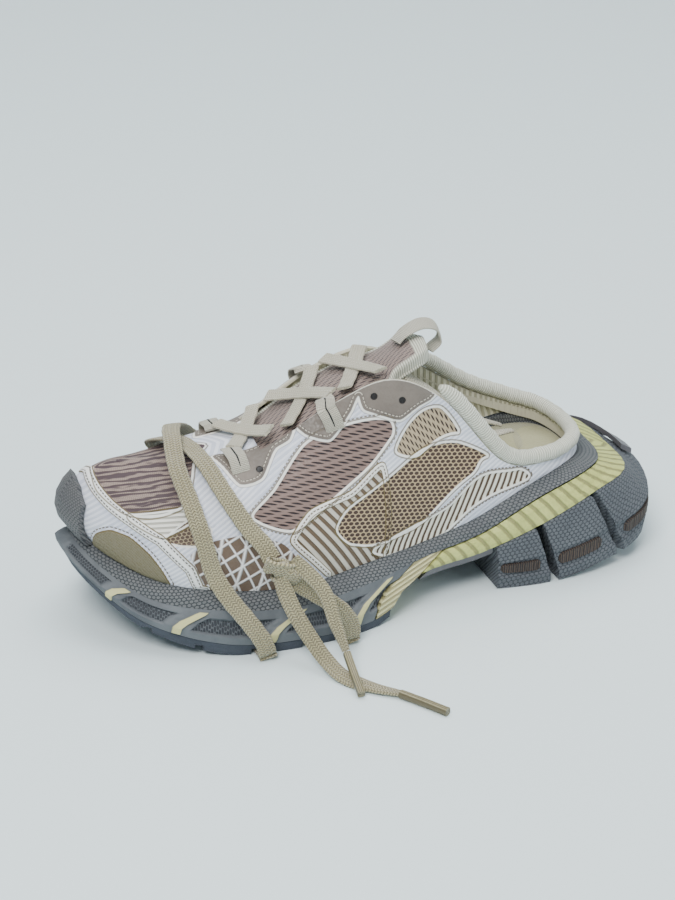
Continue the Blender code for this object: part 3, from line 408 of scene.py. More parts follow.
# rows of threads that lean left and right in turn, as on flat woven lace and webbing
def buildHerringbone():
    tree, given, out = effectGroup("herringbone",
                                   (("Vector", vectorSocket, None), ("Pitch", floatSocket, 1.0),
                                                   ("Lean", floatSocket, 0.8)), ("Height",))
    x, y, z = splitVector(tree, given["Vector"])
    row = maths(tree, "DIVIDE", y, given["Pitch"])
    side = maths(tree, "PINGPONG", row, 1.0)
    phase = maths(tree, "ADD", maths(tree, "DIVIDE", x, given["Pitch"]),
                  maths(tree, "MULTIPLY", side, given["Lean"]))
    thread = maths(tree, "ABSOLUTE", maths(tree, "SINE", maths(tree, "MULTIPLY", phase, math.pi)))
    crest = maths(tree, "POWER", maths(tree, "ABSOLUTE",
                                       maths(tree, "SINE", maths(tree, "MULTIPLY", row, math.pi))), 0.35)
    tree.links.new(maths(tree, "MULTIPLY", thread, crest), out["Height"])
    return tree


# soft blotches and fine speckle
def buildWear():
    tree, given, out = effectGroup("wear", (("Vector", vectorSocket, None), ("Scale", floatSocket, 40.0)),
                                   ("Blotch", "Speckle"))
    tree.links.new(ramp(tree, noise(tree, given["Vector"], given["Scale"], 4.0), 0.35, 0.68), out["Blotch"])
    fine = maths(tree, "MULTIPLY", given["Scale"], 22.0)
    tree.links.new(ramp(tree, noise(tree, given["Vector"], fine, 2.0, 0.6), 0.35, 0.65), out["Speckle"])
    return tree


# stitches: short dashes at one distance from an outline, in millimetres
def buildStitches():
    tree, given, out = effectGroup("stitches", (("Distance", floatSocket, 0.0), ("Arc", floatSocket, 0.0),
                                                ("Offset", floatSocket, 1.0), ("Pitch", floatSocket, 1.8)),
                                   ("Thread", "Groove"))
    near = maths(tree, "ABSOLUTE", maths(tree, "SUBTRACT", given["Distance"], given["Offset"]))
    u = maths(tree, "ABSOLUTE", maths(tree, "SUBTRACT", maths(tree, "FRACT", maths(
        tree, "DIVIDE", given["Arc"], given["Pitch"])), 0.5))
    groove = ramp(tree, near, 0.55, 0.20)
    tree.links.new(maths(tree, "MULTIPLY", ramp(tree, near, 0.34, 0.16), ramp(tree, u, 0.36, 0.26)),
                   out["Thread"])
    tree.links.new(groove, out["Groove"])
    return tree


effects = {"hexCells": buildHexCells(), "slitRows": buildSlitRows(), "fineWeave": buildFineWeave(),
           "herringbone": buildHerringbone(), "wear": buildWear(), "stitches": buildStitches()}
print("effects built")


def effect(tree, name, **values):
    node = tree.nodes.new("ShaderNodeGroup")
    node.node_tree = effects[name]
    for key, value in values.items():
        socketOf(tree, value, node.inputs[key])
    return node.outputs


def newFinish(name, roughness=0.7, **fixed):
    made = bpy.data.materials.new(name)
    made.use_nodes = True
    tree = made.node_tree
    shader = tree.nodes["Principled BSDF"]
    shader.inputs["Roughness"].default_value = roughness
    for key, value in fixed.items():
        shader.inputs[key.replace("_", " ")].default_value = value
    return made, tree, shader


def coordinates(tree, kind="UV"):
    return tree.nodes.new("ShaderNodeTexCoord").outputs[kind]


def attributeOf(tree, name):
    node = tree.nodes.new("ShaderNodeAttribute")
    node.attribute_name = name
    return node.outputs["Fac"]


def addBump(tree, shader, height, distance, strength=1.0):
    node = tree.nodes.new("ShaderNodeBump")
    node.inputs["Strength"].default_value = strength
    node.inputs["Distance"].default_value = distance
    tree.links.new(height, node.inputs["Height"])
    tree.links.new(node.outputs["Normal"], shader.inputs["Normal"])


# a plain moulded or cloth finish: two tints by blotch and speckle, and a relief
def plainFinish(name, light, dark, roughness, relief=None, reliefTint=None, depth=0.0003, scale=40.0,
                kind="Object",
                blotchShare=0.5, speckleShare=0.3, **fixed):
    made, tree, shader = newFinish(name, roughness, **fixed)
    worn = effect(tree, "wear", Vector=coordinates(tree, "Object"), Scale=scale)
    share = maths(tree, "ADD", maths(tree, "MULTIPLY", worn["Blotch"], blotchShare),
                  maths(tree, "MULTIPLY", worn["Speckle"], speckleShare), clamp=True)
    colour = blendTint(tree, share, light, dark)
    height = maths(tree, "MULTIPLY", worn["Speckle"], 0.15)
    if relief:
        pattern = relief(tree, coordinates(tree, kind))
        if reliefTint:
            colour = blendTint(tree, pattern, colour, reliefTint)
        height = maths(tree, "SUBTRACT", height, pattern)
    tree.links.new(colour, shader.inputs["Base Color"])
    addBump(tree, shader, height, depth)
    return made


# reliefs by name: each gives a mask of its cells, grooves, weave or threads from a vector in millimetres
def hexRelief(pitch):
    def relief(tree, vector):
        return effect(tree, "hexCells", Vector=vector, Pitch=pitch)["Ridge"]
    return relief


# straight grooves across one direction of the surface's own millimetres
def grooveRelief(pitch, degrees=0, width=0.3):
    def relief(tree, vector):
        x, y, z = splitVector(tree, turnedVector(tree, vector, degrees))
        u = maths(tree, "ABSOLUTE", maths(tree, "SUBTRACT",
                                          maths(tree, "FRACT", maths(tree, "DIVIDE", x, pitch)), 0.5))
        return ramp(tree, u, width + 0.12, width - 0.08, 1.0, 0.0)
    return relief


def weaveRelief(pitch):
    def relief(tree, vector):
        return maths(tree, "SUBTRACT", 1.0, effect(tree, "fineWeave", Vector=vector, Pitch=pitch)["Height"])
    return relief


def threadRelief(pitch, lean=0.8):
    def relief(tree, vector):
        return maths(tree, "SUBTRACT", 1.0, effect(tree, "herringbone", Vector=vector, Pitch=pitch,
                                                   Lean=lean)["Height"])
    return relief


# the sole's pieces carry uv in millimetres: along the side, and up it
finishes = {
    "foam": plainFinish("foamGrain", tint(132, 135, 136), tint(112, 115, 118), 0.7, hexRelief(2.4),
                        tint(84, 88, 93), 0.0004,
                        kind="UV"),
    "cream": plainFinish("creamWedge", tint(226, 222, 180), tint(208, 204, 160), 0.6,
                         grooveRelief(2.4, 60, 0.26),
                         tint(176, 170, 132), 0.0009, kind="UV"),
    "band": plainFinish("yellowBand", tint(208, 212, 146), tint(184, 188, 122), 0.6,
                        grooveRelief(6.0, -32, 0.34),
                        tint(160, 160, 112), 0.0008, kind="UV"),
    "rubber": plainFinish("blockRubber", tint(122, 126, 131), tint(98, 102, 108), 0.7, hexRelief(2.4),
                          tint(80, 84, 91),
                          0.00035, kind="UV"),
    "recess": plainFinish("recessStrip", tint(112, 98, 88), tint(86, 76, 72), 0.7,
                          grooveRelief(1.3, 0, 0.26),
                          tint(58, 54, 56), 0.0006, kind="UV"),
    "tread": plainFinish("treadRubber", tint(88, 94, 104), tint(70, 76, 86), 0.8, depth=0.0003, scale=70),
    "plate": plainFinish("shankPlate", tint(126, 124, 128), tint(108, 107, 112), 0.45, depth=0.00015,
                         scale=30),
    "bumper": plainFinish("bumperGrain", tint(134, 134, 134), tint(108, 109, 112), 0.7, hexRelief(1.7),
                          tint(84, 86, 90),
                          0.0004, kind="UV"),
    "knit": plainFinish("knitCream", tint(234, 235, 224), tint(220, 221, 208), 0.95,
                        grooveRelief(1.25, 0, 0.24),
                        tint(196, 197, 182), 0.0004, kind="UV", Sheen_Weight=0.35),
    "lining": plainFinish("liningCream", tint(224, 222, 204), tint(206, 204, 184), 0.95,
                          grooveRelief(1.7, 0, 0.24),
                          tint(184, 181, 160), 0.0005, kind="UV", Sheen_Weight=0.3),
    "insole": plainFinish("insoleCloth", tint(200, 198, 168), tint(176, 174, 144), 0.95, weaveRelief(1.1),
                          tint(158, 156, 128),
                          0.0004, kind="UV", Sheen_Weight=0.3),
    "lace": plainFinish("laceFlat", tint(232, 228, 210), tint(214, 210, 190), 0.95, threadRelief(1.25),
                        tint(172, 166, 144),
                        0.0006, kind="UV", Sheen_Weight=0.4),
    "wrap": plainFinish("laceLong", tint(204, 197, 165), tint(184, 177, 145), 0.95, threadRelief(1.45),
                        tint(132, 124, 96),
                        0.0007, kind="UV", Sheen_Weight=0.4),
    "tape": plainFinish("webbingTape", tint(226, 223, 210), tint(206, 203, 188), 0.9,
                        threadRelief(0.8, 0.0), tint(170, 166, 150),
                        0.0004, kind="UV", Sheen_Weight=0.3),
    "tip": plainFinish("laceTip", tint(182, 176, 148), tint(150, 144, 118), 0.35,
                       grooveRelief(0.9, 90, 0.3), tint(116, 108, 84),
                       0.0003, kind="UV"),
    "dark": plainFinish("blackLine", tint(34, 34, 38), tint(24, 24, 28), 0.7, depth=0.0002),
}
print("plain finishes built")

# the upper's panels as outlines of station and height v; edges past the toe's middle or the crown run on
panels = {
    "mesh": ((-0.5, 0.80), (0, 0.74), (0.4, 0.68), (0.77, 0.58), (1.41, 0.48), (1.85, 0.48), (2.34, 0.56),
             (2.55, 0.75),
             (2.7, 1.0), (2.9, 1.3), (3.0, 1.7), (-0.5, 1.7)),
    "olive": ((0.67, -0.1), (0.86, 0.18), (1.17, 0.29), (1.53, 0.29), (1.84, 0.20), (2.05, 0.07),
              (2.1, -0.1)),
    "rib": ((1.51, 0.455), (2.41, 0.545), (2.54, 0.48), (2.09, 0.36), (1.85, 0.38)),
    "hexa": ((2.08, 0.33), (2.46, 0.47), (2.73, 0.41), (2.63, 0.31), (2.29, 0.30)),
    "stayLow": ((3.14, 1.1), (3.20, 0.86), (3.36, 0.70), (3.78, 0.73), (4.18, 0.93), (4.40, 0.94),
                (4.50, 1.1)),
    "stayMid": ((4.70, 1.1), (4.58, 0.90), (4.83, 0.76), (5.24, 0.87), (5.44, 0.96), (5.46, 0.83),
                (5.98, 0.70),
                (6.73, 0.93), (6.79, 1.1)),
    "plum": ((3.42, 0.47), (3.90, 0.62), (4.52, 0.82), (5.17, 0.79), (5.77, 0.71), (5.76, 0.62),
             (5.28, 0.51),
             (4.41, 0.40), (3.93, 0.35)),
    "inlay": ((2.62, -0.1), (2.50, 0.14), (2.42, 0.24), (2.75, 0.33), (3.30, 0.36), (3.78, 0.28),
              (4.02, 0.12), (4.06, -0.1)),
    "cage": ((5.51, 0.48), (4.89, 0.42), (4.28, 0.42), (3.90, 0.29), (4.14, 0.14), (4.65, -0.1),
             (5.32, -0.1)),
    "comb": ((4.60, 0.25), (4.83, 0.33), (5.74, 0.42), (7.21, 0.67), (7.69, 0.83), (7.35, 0.52),
             (7.05, 0.34), (5.97, 0.10),
             (5.16, 0.09), (4.76, 0.15)),
    "almond": ((5.76, 0.52), (6.13, 0.67), (6.91, 0.91), (7.16, 0.78), (6.16, 0.48)),
    "strip": ((5.58, -0.02), (5.16, 0.06), (6.55, 0.14), (7.6, 0.45), (8.32, 0.80), (8.18, 0.29),
              (6.90, 0.08), (6.28, -0.02)),
}
# white bands with an olive edge and dashes: lines of station and height
bandLines = {"toeBand": ((-0.36, 0.72), (0.2, 0.66), (0.45, 0.62), (1.10, 0.49), (1.51, 0.42),
                         (2.01, 0.32), (2.41, 0.14), (2.61, -0.1))}


# closed Catmull-Rom with half its pull, so that the corners stay as corners with a small round
def roundedLoop(outline, pull=0.32):
    rows = np.array(outline, float)
    before, after = np.roll(rows, 1, 0), np.roll(rows, -1, 0)
    slope = (after - before) * pull
    u = np.linspace(0, 1, 9)[:-1, None]
    fine = [(2 * u ** 3 - 3 * u ** 2 + 1) * a + (u ** 3 - 2 * u ** 2 + u) * m + (3 * u ** 2 - 2 * u ** 3)
            * b + (u ** 3 - u ** 2) * n
            for a, b, m, n in zip(rows, after, slope, np.roll(slope, -1, 0))]
    return np.vstack(fine + [rows[:1]])


# signed distance to a polygon on the surface, in millimetres: positive inside, and the arc along its border
def panelDistance(points, tv, outline):
    fine = roundedLoop(outline)
    place = skinPoint(fine[:, 0], np.clip(fine[:, 1], 0, 1.9)) * 1000
    reach = np.r_[0, np.cumsum(np.linalg.norm(np.diff(place, axis=0), axis=1))]
    flat = points.reshape(-1, 3) * 1000
    best, arc = np.full(len(flat), 1e9), np.zeros(len(flat))
    for a, b, s, fa, fb in zip(place, place[1:], reach, fine, fine[1:]):
        if min(fa[1], fb[1]) < -0.02 or max(fa[1], fb[1]) > 1.55 or max(fa[0], fb[0]) < -0.02:
            continue
        d = b - a
        size = max(float(d @ d), 1e-9)
        u = np.clip((flat - a) @ d / size, 0, 1)
        away = np.linalg.norm(flat - a - u[:, None] * d, axis=1)
        nearer = away < best
        best[nearer], arc[nearer] = away[nearer], (s + u * math.sqrt(size))[nearer]
    inside = np.zeros(len(flat), bool)
    t, v = tv.reshape(-1, 2).T
    for (x0, y0), (x1, y1) in zip(fine, fine[1:]):
        if y0 != y1:
            inside ^= ((y0 > v) != (y1 > v)) & (t < (x1 - x0) * (v - y0) / (y1 - y0) + x0)
    return np.where(inside, best, -best), arc


# distance to an open line on the surface, in millimetres, and the arc along it
def lineDistance(points, outline):
    rows = np.array(outline, float)
    fine = np.vstack([np.linspace(a, b, 13)[:-1] for a, b in zip(rows, rows[1:])] + [rows[-1:]])
    place = skinPoint(fine[:, 0], np.clip(fine[:, 1], 0, 1.9)) * 1000
    reach = np.r_[0, np.cumsum(np.linalg.norm(np.diff(place, axis=0), axis=1))]
    flat = points.reshape(-1, 3) * 1000
    best, arc = np.full(len(flat), 1e9), np.zeros(len(flat))
    for a, b, s in zip(place, place[1:], reach):
        d = b - a
        size = max(float(d @ d), 1e-9)
        u = np.clip((flat - a) @ d / size, 0, 1)
        away = np.linalg.norm(flat - a - u[:, None] * d, axis=1)
        nearer = away < best
        best[nearer], arc[nearer] = away[nearer], (s + u * math.sqrt(size))[nearer]
    return best, arc


# smooth step: u u (3 - 2 u)
def ease(x, low, high):
    u = np.clip((x - low) / (high - low), 0, 1)
    return u * u * (3 - 2 * u)


# upper: a closed grid of stations and heights; the rim turns in by the wall; panels are raised or sunk
skin = {"cols": 660, "rows": 78, "crownCols": 72, "raise": 0.0009, "sink": 0.0006, "rimTurn": 0.0023}
tGrid = np.arange(skin["cols"]) / skin["cols"] * stationCount
vGrid = np.linspace(0, 1, skin["rows"])
crownEdge = int(round(4 / stationCount * skin["cols"]))


# distances to every outline; the medial side is measured as the lateral one's mirror
def panelFields(t, v):
    mirrored = np.where(t > stationCount / 2, stationCount - t, t)
    flat = skinPoint(mirrored, v)
    tv = np.stack([mirrored, v], -1)
    fields, arcs = {}, {}
    for key, outline in panels.items():
        fields[key], arcs[key] = panelDistance(flat, tv, outline)
    for key, outline in bandLines.items():
        away, arcs[key] = lineDistance(flat, outline)
        fields[key] = 2.6 - away
    return fields, arcs


# relief in shares of the raise: stays and bands stand proud, cut-outs lie low
def skinRelief(fields):
    proud = np.maximum.reduce([ease(fields[k], -0.35, 0.35)
                               for k in ("stayLow", "stayMid", "toeBand", "olive", "cage")])
    low = np.maximum.reduce([ease(fields[k], 0.0, 0.9)
                             for k in ("mesh", "plum", "comb", "almond", "strip", "hexa", "rib")])
    low = low * (1 - ease(fields["stayLow"], -0.3, 0.2)) * (1 - ease(fields["stayMid"], -0.3, 0.2))
    cageHole = ease(fields["cage"], 2.6, 3.2)
    return skin["raise"] * (proud * (1 - 0.9 * cageHole)) - skin["sink"] * low


# uv in millimetres: along the foot, and up the side
def metricUv(t, v):
    mirrored = np.where(t > stationCount / 2, stationCount - t, t)
    p = skinPoint(mirrored, v) * 1000
    return np.stack([p[..., 0] + 0.25 * p[..., 1], p[..., 2] + 0.45 * p[..., 1]], -1)


tt, vv = np.meshgrid(tGrid, vGrid, indexing="ij")
wallPart = skinPoint(tt, vv)
kk, uu = np.meshgrid(np.arange(1, crownEdge + 1), np.linspace(0, 1, skin["crownCols"])[1:-1], indexing="ij")
crownT = tGrid[kk]
crownV = 1 + np.where(uu <= 0.5, uu, 1 - uu) / crownReach
ends = np.clip(crownT * 4 / 3, 0, 1)
crownPart = crownPoint(crownT, uu, 0) + np.array([0, 0, 4 * crownLift]) * (ends * uu * (1 - uu))[..., None]
allT = np.concatenate([tt.ravel(), crownT.ravel()])
allV = np.concatenate([vv.ravel(), crownV.ravel()])
fields, arcs = panelFields(allT, allV)
print("panel outlines measured at", len(allT), "points")


# panel by panel over a silver-white film; each border carries a white rim, an olive edge line and a seam
def buildSkinFinish():
    made, tree, shader = newFinish("upperPanels", 0.55)
    uv = coordinates(tree)
    field = {key: attributeOf(tree, key) for key in list(panels) + list(bandLines)}
    arc = {key: attributeOf(tree, key + "Arc") for key in ("toeBand", "stayLow", "stayMid", "cage",
                                                           "strip", "olive", "plum")}
    worn = effect(tree, "wear", Vector=coordinates(tree, "Object"), Scale=35.0)

    def inside(key, edge=0.0, soft=0.15):
        return ramp(tree, field[key], edge - soft, edge + soft)

    def stripe(key, low, high, soft=0.12):
        return maths(tree, "MULTIPLY", inside(key, low, soft),
                     ramp(tree, field[key], high + soft, high - soft))

    def stripes(degrees, pitch, share):
        x, y, z = splitVector(tree, turnedVector(tree, uv, degrees))
        u = maths(tree, "ABSOLUTE", maths(tree, "SUBTRACT",
                                          maths(tree, "FRACT", maths(tree, "DIVIDE", x, pitch)), 0.5))
        return ramp(tree, u, share / 2 + 0.05, share / 2 - 0.05)

    # base film: faint slanted hatch
    hatch = stripes(58, 2.1, 0.5)
    colour = blendTint(tree, worn["Blotch"], tint(238, 240, 246), tint(220, 224, 234))
    colour = blendTint(tree, maths(tree, "MULTIPLY", hatch, 0.5), colour, tint(184, 190, 206))
    height = maths(tree, "MULTIPLY", hatch, 0.25)

    def layer(key, mask, light, dark, pattern, depth):
        nonlocal colour, height
        inner = blendTint(tree, pattern, light, dark) if pattern else light
        colour = blendTint(tree, mask, colour, inner)
        sunk = maths(tree, "MULTIPLY", pattern, -depth) if pattern else 0.0
        mixed = tree.nodes.new("ShaderNodeMix")
        tree.links.new(mask, mixed.inputs["Factor"])
        tree.links.new(height, mixed.inputs["A"])
        socketOf(tree, sunk, mixed.inputs["B"])
        height = mixed.outputs["Result"]

    # toe mesh: wavy ripples over plum-grey to beige
    x, y, z = splitVector(tree, uv)
    wander = maths(tree, "MULTIPLY", noise(tree, turnedVector(tree, uv, 0, (0.07, 0.35, 1)), 1.0, 2.0), 5.0)
    ripple = maths(tree, "SINE", maths(tree, "MULTIPLY", maths(tree, "ADD", y, wander), 2 * math.pi / 2.6))
    pits = effect(tree, "hexCells", Vector=uv, Pitch=0.85)["Ridge"]
    waves = maths(tree, "MULTIPLY", ramp(tree, ripple, -0.5, 0.7), ramp(tree, pits, 0.0, 1.0, 1.0, 0.45))
    layer("mesh", inside("mesh"), tint(98, 84, 88), tint(186, 170, 160), waves, -0.9)
    # ribbed triangle, hex triangle, olive patch
    layer("rib", inside("rib"), tint(240, 238, 230), tint(190, 188, 178), stripes(96, 2.6, 0.4), 0.8)
    cells = effect(tree, "hexCells", Vector=uv, Pitch=2.0)
    holes = maths(tree, "SUBTRACT", 1.0, cells["Ridge"])
    layer("hexa", inside("hexa"), tint(190, 176, 150), tint(112, 96, 86), holes, 0.9)
    layer("olive", inside("olive"), tint(148, 142, 118), tint(128, 122, 100), pits, 0.3)
    # slit panels: long dark slits that rise from left to right
    slits = effect(tree, "slitRows", Vector=turnedVector(tree, uv, 18), Length=8.5, Pitch=1.75)
    layer("plum", inside("plum"), tint(150, 131, 124), tint(54, 42, 48), slits["Slit"], 1.0)
    # lower vamp: brown inlays between white lines that cross
    lattice = maths(tree, "MAXIMUM", stripes(64, 7.0, 0.17),
                    maths(tree, "MAXIMUM", stripes(-20, 6.2, 0.15), stripes(18, 11.0, 0.12)))
    layer("inlay", inside("inlay"), tint(122, 106, 92), tint(236, 236, 236), lattice, -0.9)
    # U cage: slats inside a white rim with an olive edge
    cageIn = inside("cage", 3.0)
    bars = stripes(-34, 4.2, 0.45)
    layer("cage", inside("cage"), tint(238, 237, 232), tint(238, 237, 232), None, 0.0)
    layer("cage", cageIn, tint(206, 202, 192), tint(118, 102, 84), bars, 0.9)
    # honeycomb towards the collar
    big = effect(tree, "hexCells", Vector=turnedVector(tree, uv, 12, (1.0, 1.35, 1.0)), Pitch=3.1)
    bigHoles = maths(tree, "SUBTRACT", 1.0, ramp(tree, big["Distance"], 0.34, 0.44))
    layer("comb", inside("comb"), tint(196, 178, 148), tint(88, 70, 60), bigHoles, 1.0)
    layer("strip", inside("strip"), tint(228, 226, 214), tint(104, 88, 72), stripes(24, 3.0, 0.42), 0.9)
    slats = effect(tree, "slitRows", Vector=turnedVector(tree, uv, 68), Length=6.5, Pitch=1.5)
    layer("almond", inside("almond"), tint(188, 174, 150), tint(78, 64, 60), slats["Slit"], 0.9)
    # white rims round the cut-outs
    for key, rim in (("plum", 1.1), ("comb", 0.9), ("almond", 1.0), ("strip", 1.0), ("rib", 0.8),
                     ("hexa", 0.8), ("mesh", 0.9)):
        layer(key, stripe(key, -rim, 0.15), tint(240, 239, 234), tint(240, 239, 234), None, 0.0)
    # toe band
    layer("toeBand", inside("toeBand"), tint(240, 240, 238), tint(240, 240, 238), None, 0.0)
    # stays of smooth leather, over everything, with white piping under their edge
    for key in ("stayLow", "stayMid"):
        layer(key, inside(key, -1.1), tint(242, 241, 236), tint(242, 241, 236), None, 0.0)
        leather = blendTint(tree, worn["Blotch"], tint(146, 138, 130), tint(128, 121, 114))
        layer(key, inside(key), leather, leather, None, 0.0)
    # olive edge lines
    edge = maths(tree, "MAXIMUM", stripe("toeBand", -0.15, 0.35),
                 maths(tree, "MAXIMUM", stripe("cage", -0.55, 0.05),
                 stripe("cage", 2.75, 3.15)))
    edge = maths(tree, "MAXIMUM", edge, stripe("olive", -0.3, 0.3))
    openSkin = maths(tree, "SUBTRACT", 1.0, maths(tree, "MAXIMUM", inside("stayLow", -1.1),
                                                  inside("stayMid", -1.1)))
    for key in ("plum", "comb", "almond", "mesh", "strip", "rib"):
        ring = maths(tree, "MULTIPLY", stripe(key, -1.75, -1.05), openSkin)
        edge = maths(tree, "MAXIMUM", edge, maths(tree, "MULTIPLY", ring, 0.8))
    colour = blendTint(tree, edge, colour, tint(128, 116, 80))
    # seams: thread dashes in a shallow groove
    for key, offset, thread in (("toeBand", 1.25, tint(92, 84, 72)), ("stayLow", 1.6, tint(214, 208, 196)),
                                ("stayMid", 1.6, tint(214, 208, 196)), ("cage", 1.4, tint(120, 104, 78)),
                                ("strip", -2.0, tint(112, 96, 74)), ("olive", -1.6, tint(120, 108, 84)),
                                ("plum", -2.1, tint(140, 130, 112))):
        sewn = effect(tree, "stitches", Distance=field[key], Arc=arc[key], Offset=offset, Pitch=2.0)
        clear = maths(tree, "SUBTRACT", 1.0, inside("stayLow", -1.1)) if key == "plum" else 1.0
        sewnShare = maths(tree, "MULTIPLY", sewn["Thread"], clear)
        colour = blendTint(tree, sewnShare, colour, thread)
        height = maths(tree, "SUBTRACT", height,
                       maths(tree, "MULTIPLY", maths(tree, "MULTIPLY", sewn["Groove"], clear), 0.45))
        height = maths(tree, "ADD", height, maths(tree, "MULTIPLY", sewnShare, 0.5))
    # painted shade right at each border step, just outside the stays' white piping
    for key in ("stayLow", "stayMid"):
        colour = blendTint(tree, maths(tree, "MULTIPLY", stripe(key, -1.5, -1.1, 0.2), 0.5), colour,
                           tint(96, 86, 78))
    # eyelets on the stays: each hole is a sunk near-black disc, painted shade standing for the dark inside
    # of the hole
    holeShade = ramp(tree, attributeOf(tree, "eyelet"), 1.5, 1.9, 1.0, 0.0)
    colour = blendTint(tree, holeShade, colour, tint(34, 30, 30))
    height = maths(tree, "SUBTRACT", height, maths(tree, "MULTIPLY", holeShade, 1.5))
    # lining on the turned-in rim
    colour = blendTint(tree, attributeOf(tree, "turned"), colour, tint(206, 203, 186))
    height = maths(tree, "ADD", height, maths(tree, "MULTIPLY", worn["Speckle"], 0.08))
    tree.links.new(colour, shader.inputs["Base Color"])
    rough = ramp(tree, maths(tree, "ADD", worn["Speckle"], inside("mesh")), 0.0, 1.0, 0.42, 0.75)
    tree.links.new(rough, shader.inputs["Roughness"])
    addBump(tree, shader, height, 0.0007)
    return made


mirroredT = np.where(allT > stationCount / 2, stationCount - allT, allT)
flatSkin = skinPoint(mirroredT, allV)
eyeletSpots = ((3.80, 0.80), (6.12, 0.84), (5.66, 0.90))
eyeletAway = np.min([np.linalg.norm(flatSkin - skinPoint(a, b), axis=-1) for a, b in eyeletSpots],
                    axis=0) * 1000
relief = skinRelief(fields)
wallCount = tt.size
normals = np.concatenate([skinNormal(tt, np.minimum(vv, 0.985)).reshape(-1, 3),
                          np.tile([0.0, 0.0, 1.0], (crownT.size, 1))])
lowFade = ease(allV, 0.0, 0.03)
# by the crown's edge the wall's normal turns to the crown's, so that the relief stays closed
overCrown = ease(np.where(np.abs(mirroredT) < 4.0, allV, 0), 0.90, 1.0)[:, None]
normals = normals * (1 - overCrown) + np.array([0, 0, 1.0]) * overCrown
skinPoints = np.concatenate([wallPart.reshape(-1, 3), crownPart.reshape(-1, 3)]) + normals * (relief
        * lowFade + 0.00012)[:, None]

# rim: three rows that turn in over the top edge, only where the throat and the collar are open
rimRows = 4
rimIndex = np.arange(crownEdge, skin["cols"] - crownEdge + 1)
rimBase = skinPoints[:wallCount].reshape(tt.shape + (3,))[rimIndex, -1]
rimNormal = skinNormal(tGrid[rimIndex], 0.985)
rimUp = np.array([0, 0, 1.0]) - rimNormal * rimNormal[:, 2:]
rimUp = rimUp / np.linalg.norm(rimUp, axis=1, keepdims=True)
turn = np.linspace(0, 1, rimRows + 1)[1:]
rimPart = np.stack([rimBase - rimNormal * skin["rimTurn"] * s + rimUp * 0.0006 * math.sin(math.pi * s)
                    for s in turn], 1)
rimPart = np.concatenate([rimPart, (rimPart[:, -1] - rimUp * 0.006)[:, None]], 1)

skinQuads = [gridQuads(skin["cols"], skin["rows"], closeRows=True)]


def crownIndex(k, j):
    last = skin["crownCols"] - 1
    band = np.where(j == 0, k, (-k) % skin["cols"]) * skin["rows"] + skin["rows"] - 1
    inner = wallCount + (k - 1) * (skin["crownCols"] - 2) + (j - 1)
    return np.where((j == 0) | (j == last) | (k == 0), np.where(k == 0, skin["rows"] - 1, band), inner)


ck, cj = np.meshgrid(np.arange(crownEdge), np.arange(skin["crownCols"] - 1), indexing="ij")
crownQuads = np.stack([crownIndex(ck, cj), crownIndex(ck + 1, cj), crownIndex(ck + 1, cj + 1),
                       crownIndex(ck, cj + 1)], -1).reshape(-1, 4)
rimStart = wallCount + crownT.size
rimCols = rimPart.shape[1]
topIndex = rimIndex * skin["rows"] + skin["rows"] - 1
firstRim = rimStart + np.arange(len(rimIndex)) * rimCols
skinQuads += [crownQuads[crownQuads[:, 0] != crownQuads[:, 1]][:, ::-1],
              np.stack([topIndex[:-1], firstRim[:-1], firstRim[1:], topIndex[1:]], -1)[:, ::-1],
              gridQuads(len(rimIndex), rimCols, start=rimStart)]
quadRows = np.concatenate(skinQuads)
sameCorner = (quadRows == np.roll(quadRows, 1, axis=1)).any(axis=1)
faceRows = quadRows[~sameCorner].tolist() + [list(dict.fromkeys(row))
                                             for row in quadRows[sameCorner].tolist()]
faceRows = [row for row in faceRows if len(row) > 2]

rimT = np.repeat(tGrid[rimIndex % skin["cols"]], rimCols)
everyUv = np.concatenate([metricUv(allT, allV), metricUv(rimT, 1.0 + 0 * rimT)])
everyField = {key: np.r_[value, np.full(rimPart.size // 3, -9.0)] for key, value in fields.items()}
for key in ("toeBand", "stayLow", "stayMid", "cage", "strip", "olive", "plum"):
    everyField[key + "Arc"] = np.r_[arcs[key], np.zeros(rimPart.size // 3)]
everyField["eyelet"] = np.r_[eyeletAway, np.full(rimPart.size // 3, 9.0)]
everyField["turned"] = np.r_[np.zeros(len(allT)), np.ones(rimPart.size // 3)]


def pieceOfFaces(name, points, faces, material, uv, values, smoothAngle=50):
    item = makePiece(name, points, np.zeros((0, 4), int), material, weld=False)
    mesh = item.data
    mesh.clear_geometry()
    mesh.from_pydata(np.asarray(points).reshape(-1, 3).tolist(), [], faces)
    layer = mesh.uv_layers.new(name="skin")
    corner = np.empty(len(mesh.loops), int)
    mesh.loops.foreach_get("vertex_index", corner)
    layer.data.foreach_set("uv", np.asarray(uv, float).reshape(-1, 2)[corner].ravel())
    for key, value in values.items():
        mesh.attributes.new(key, "FLOAT", "POINT").data.foreach_set("value",
                np.asarray(value, float).ravel())
    mesh.shade_smooth()
    mesh.set_sharp_from_angle(angle=math.radians(smoothAngle))
    return item


everyPoint = np.concatenate([skinPoints, rimPart.reshape(-1, 3)])
upperSkin = pieceOfFaces("upper_skin", everyPoint, faceRows, buildSkinFinish(), everyUv, everyField)
upperShape = bmesh.new()
upperShape.from_mesh(upperSkin.data)
bmesh.ops.recalc_face_normals(upperShape, faces=upperShape.faces)
upperShape.to_mesh(upperSkin.data)
upperShape.free()
print("upper built:", len(everyPoint), "points")


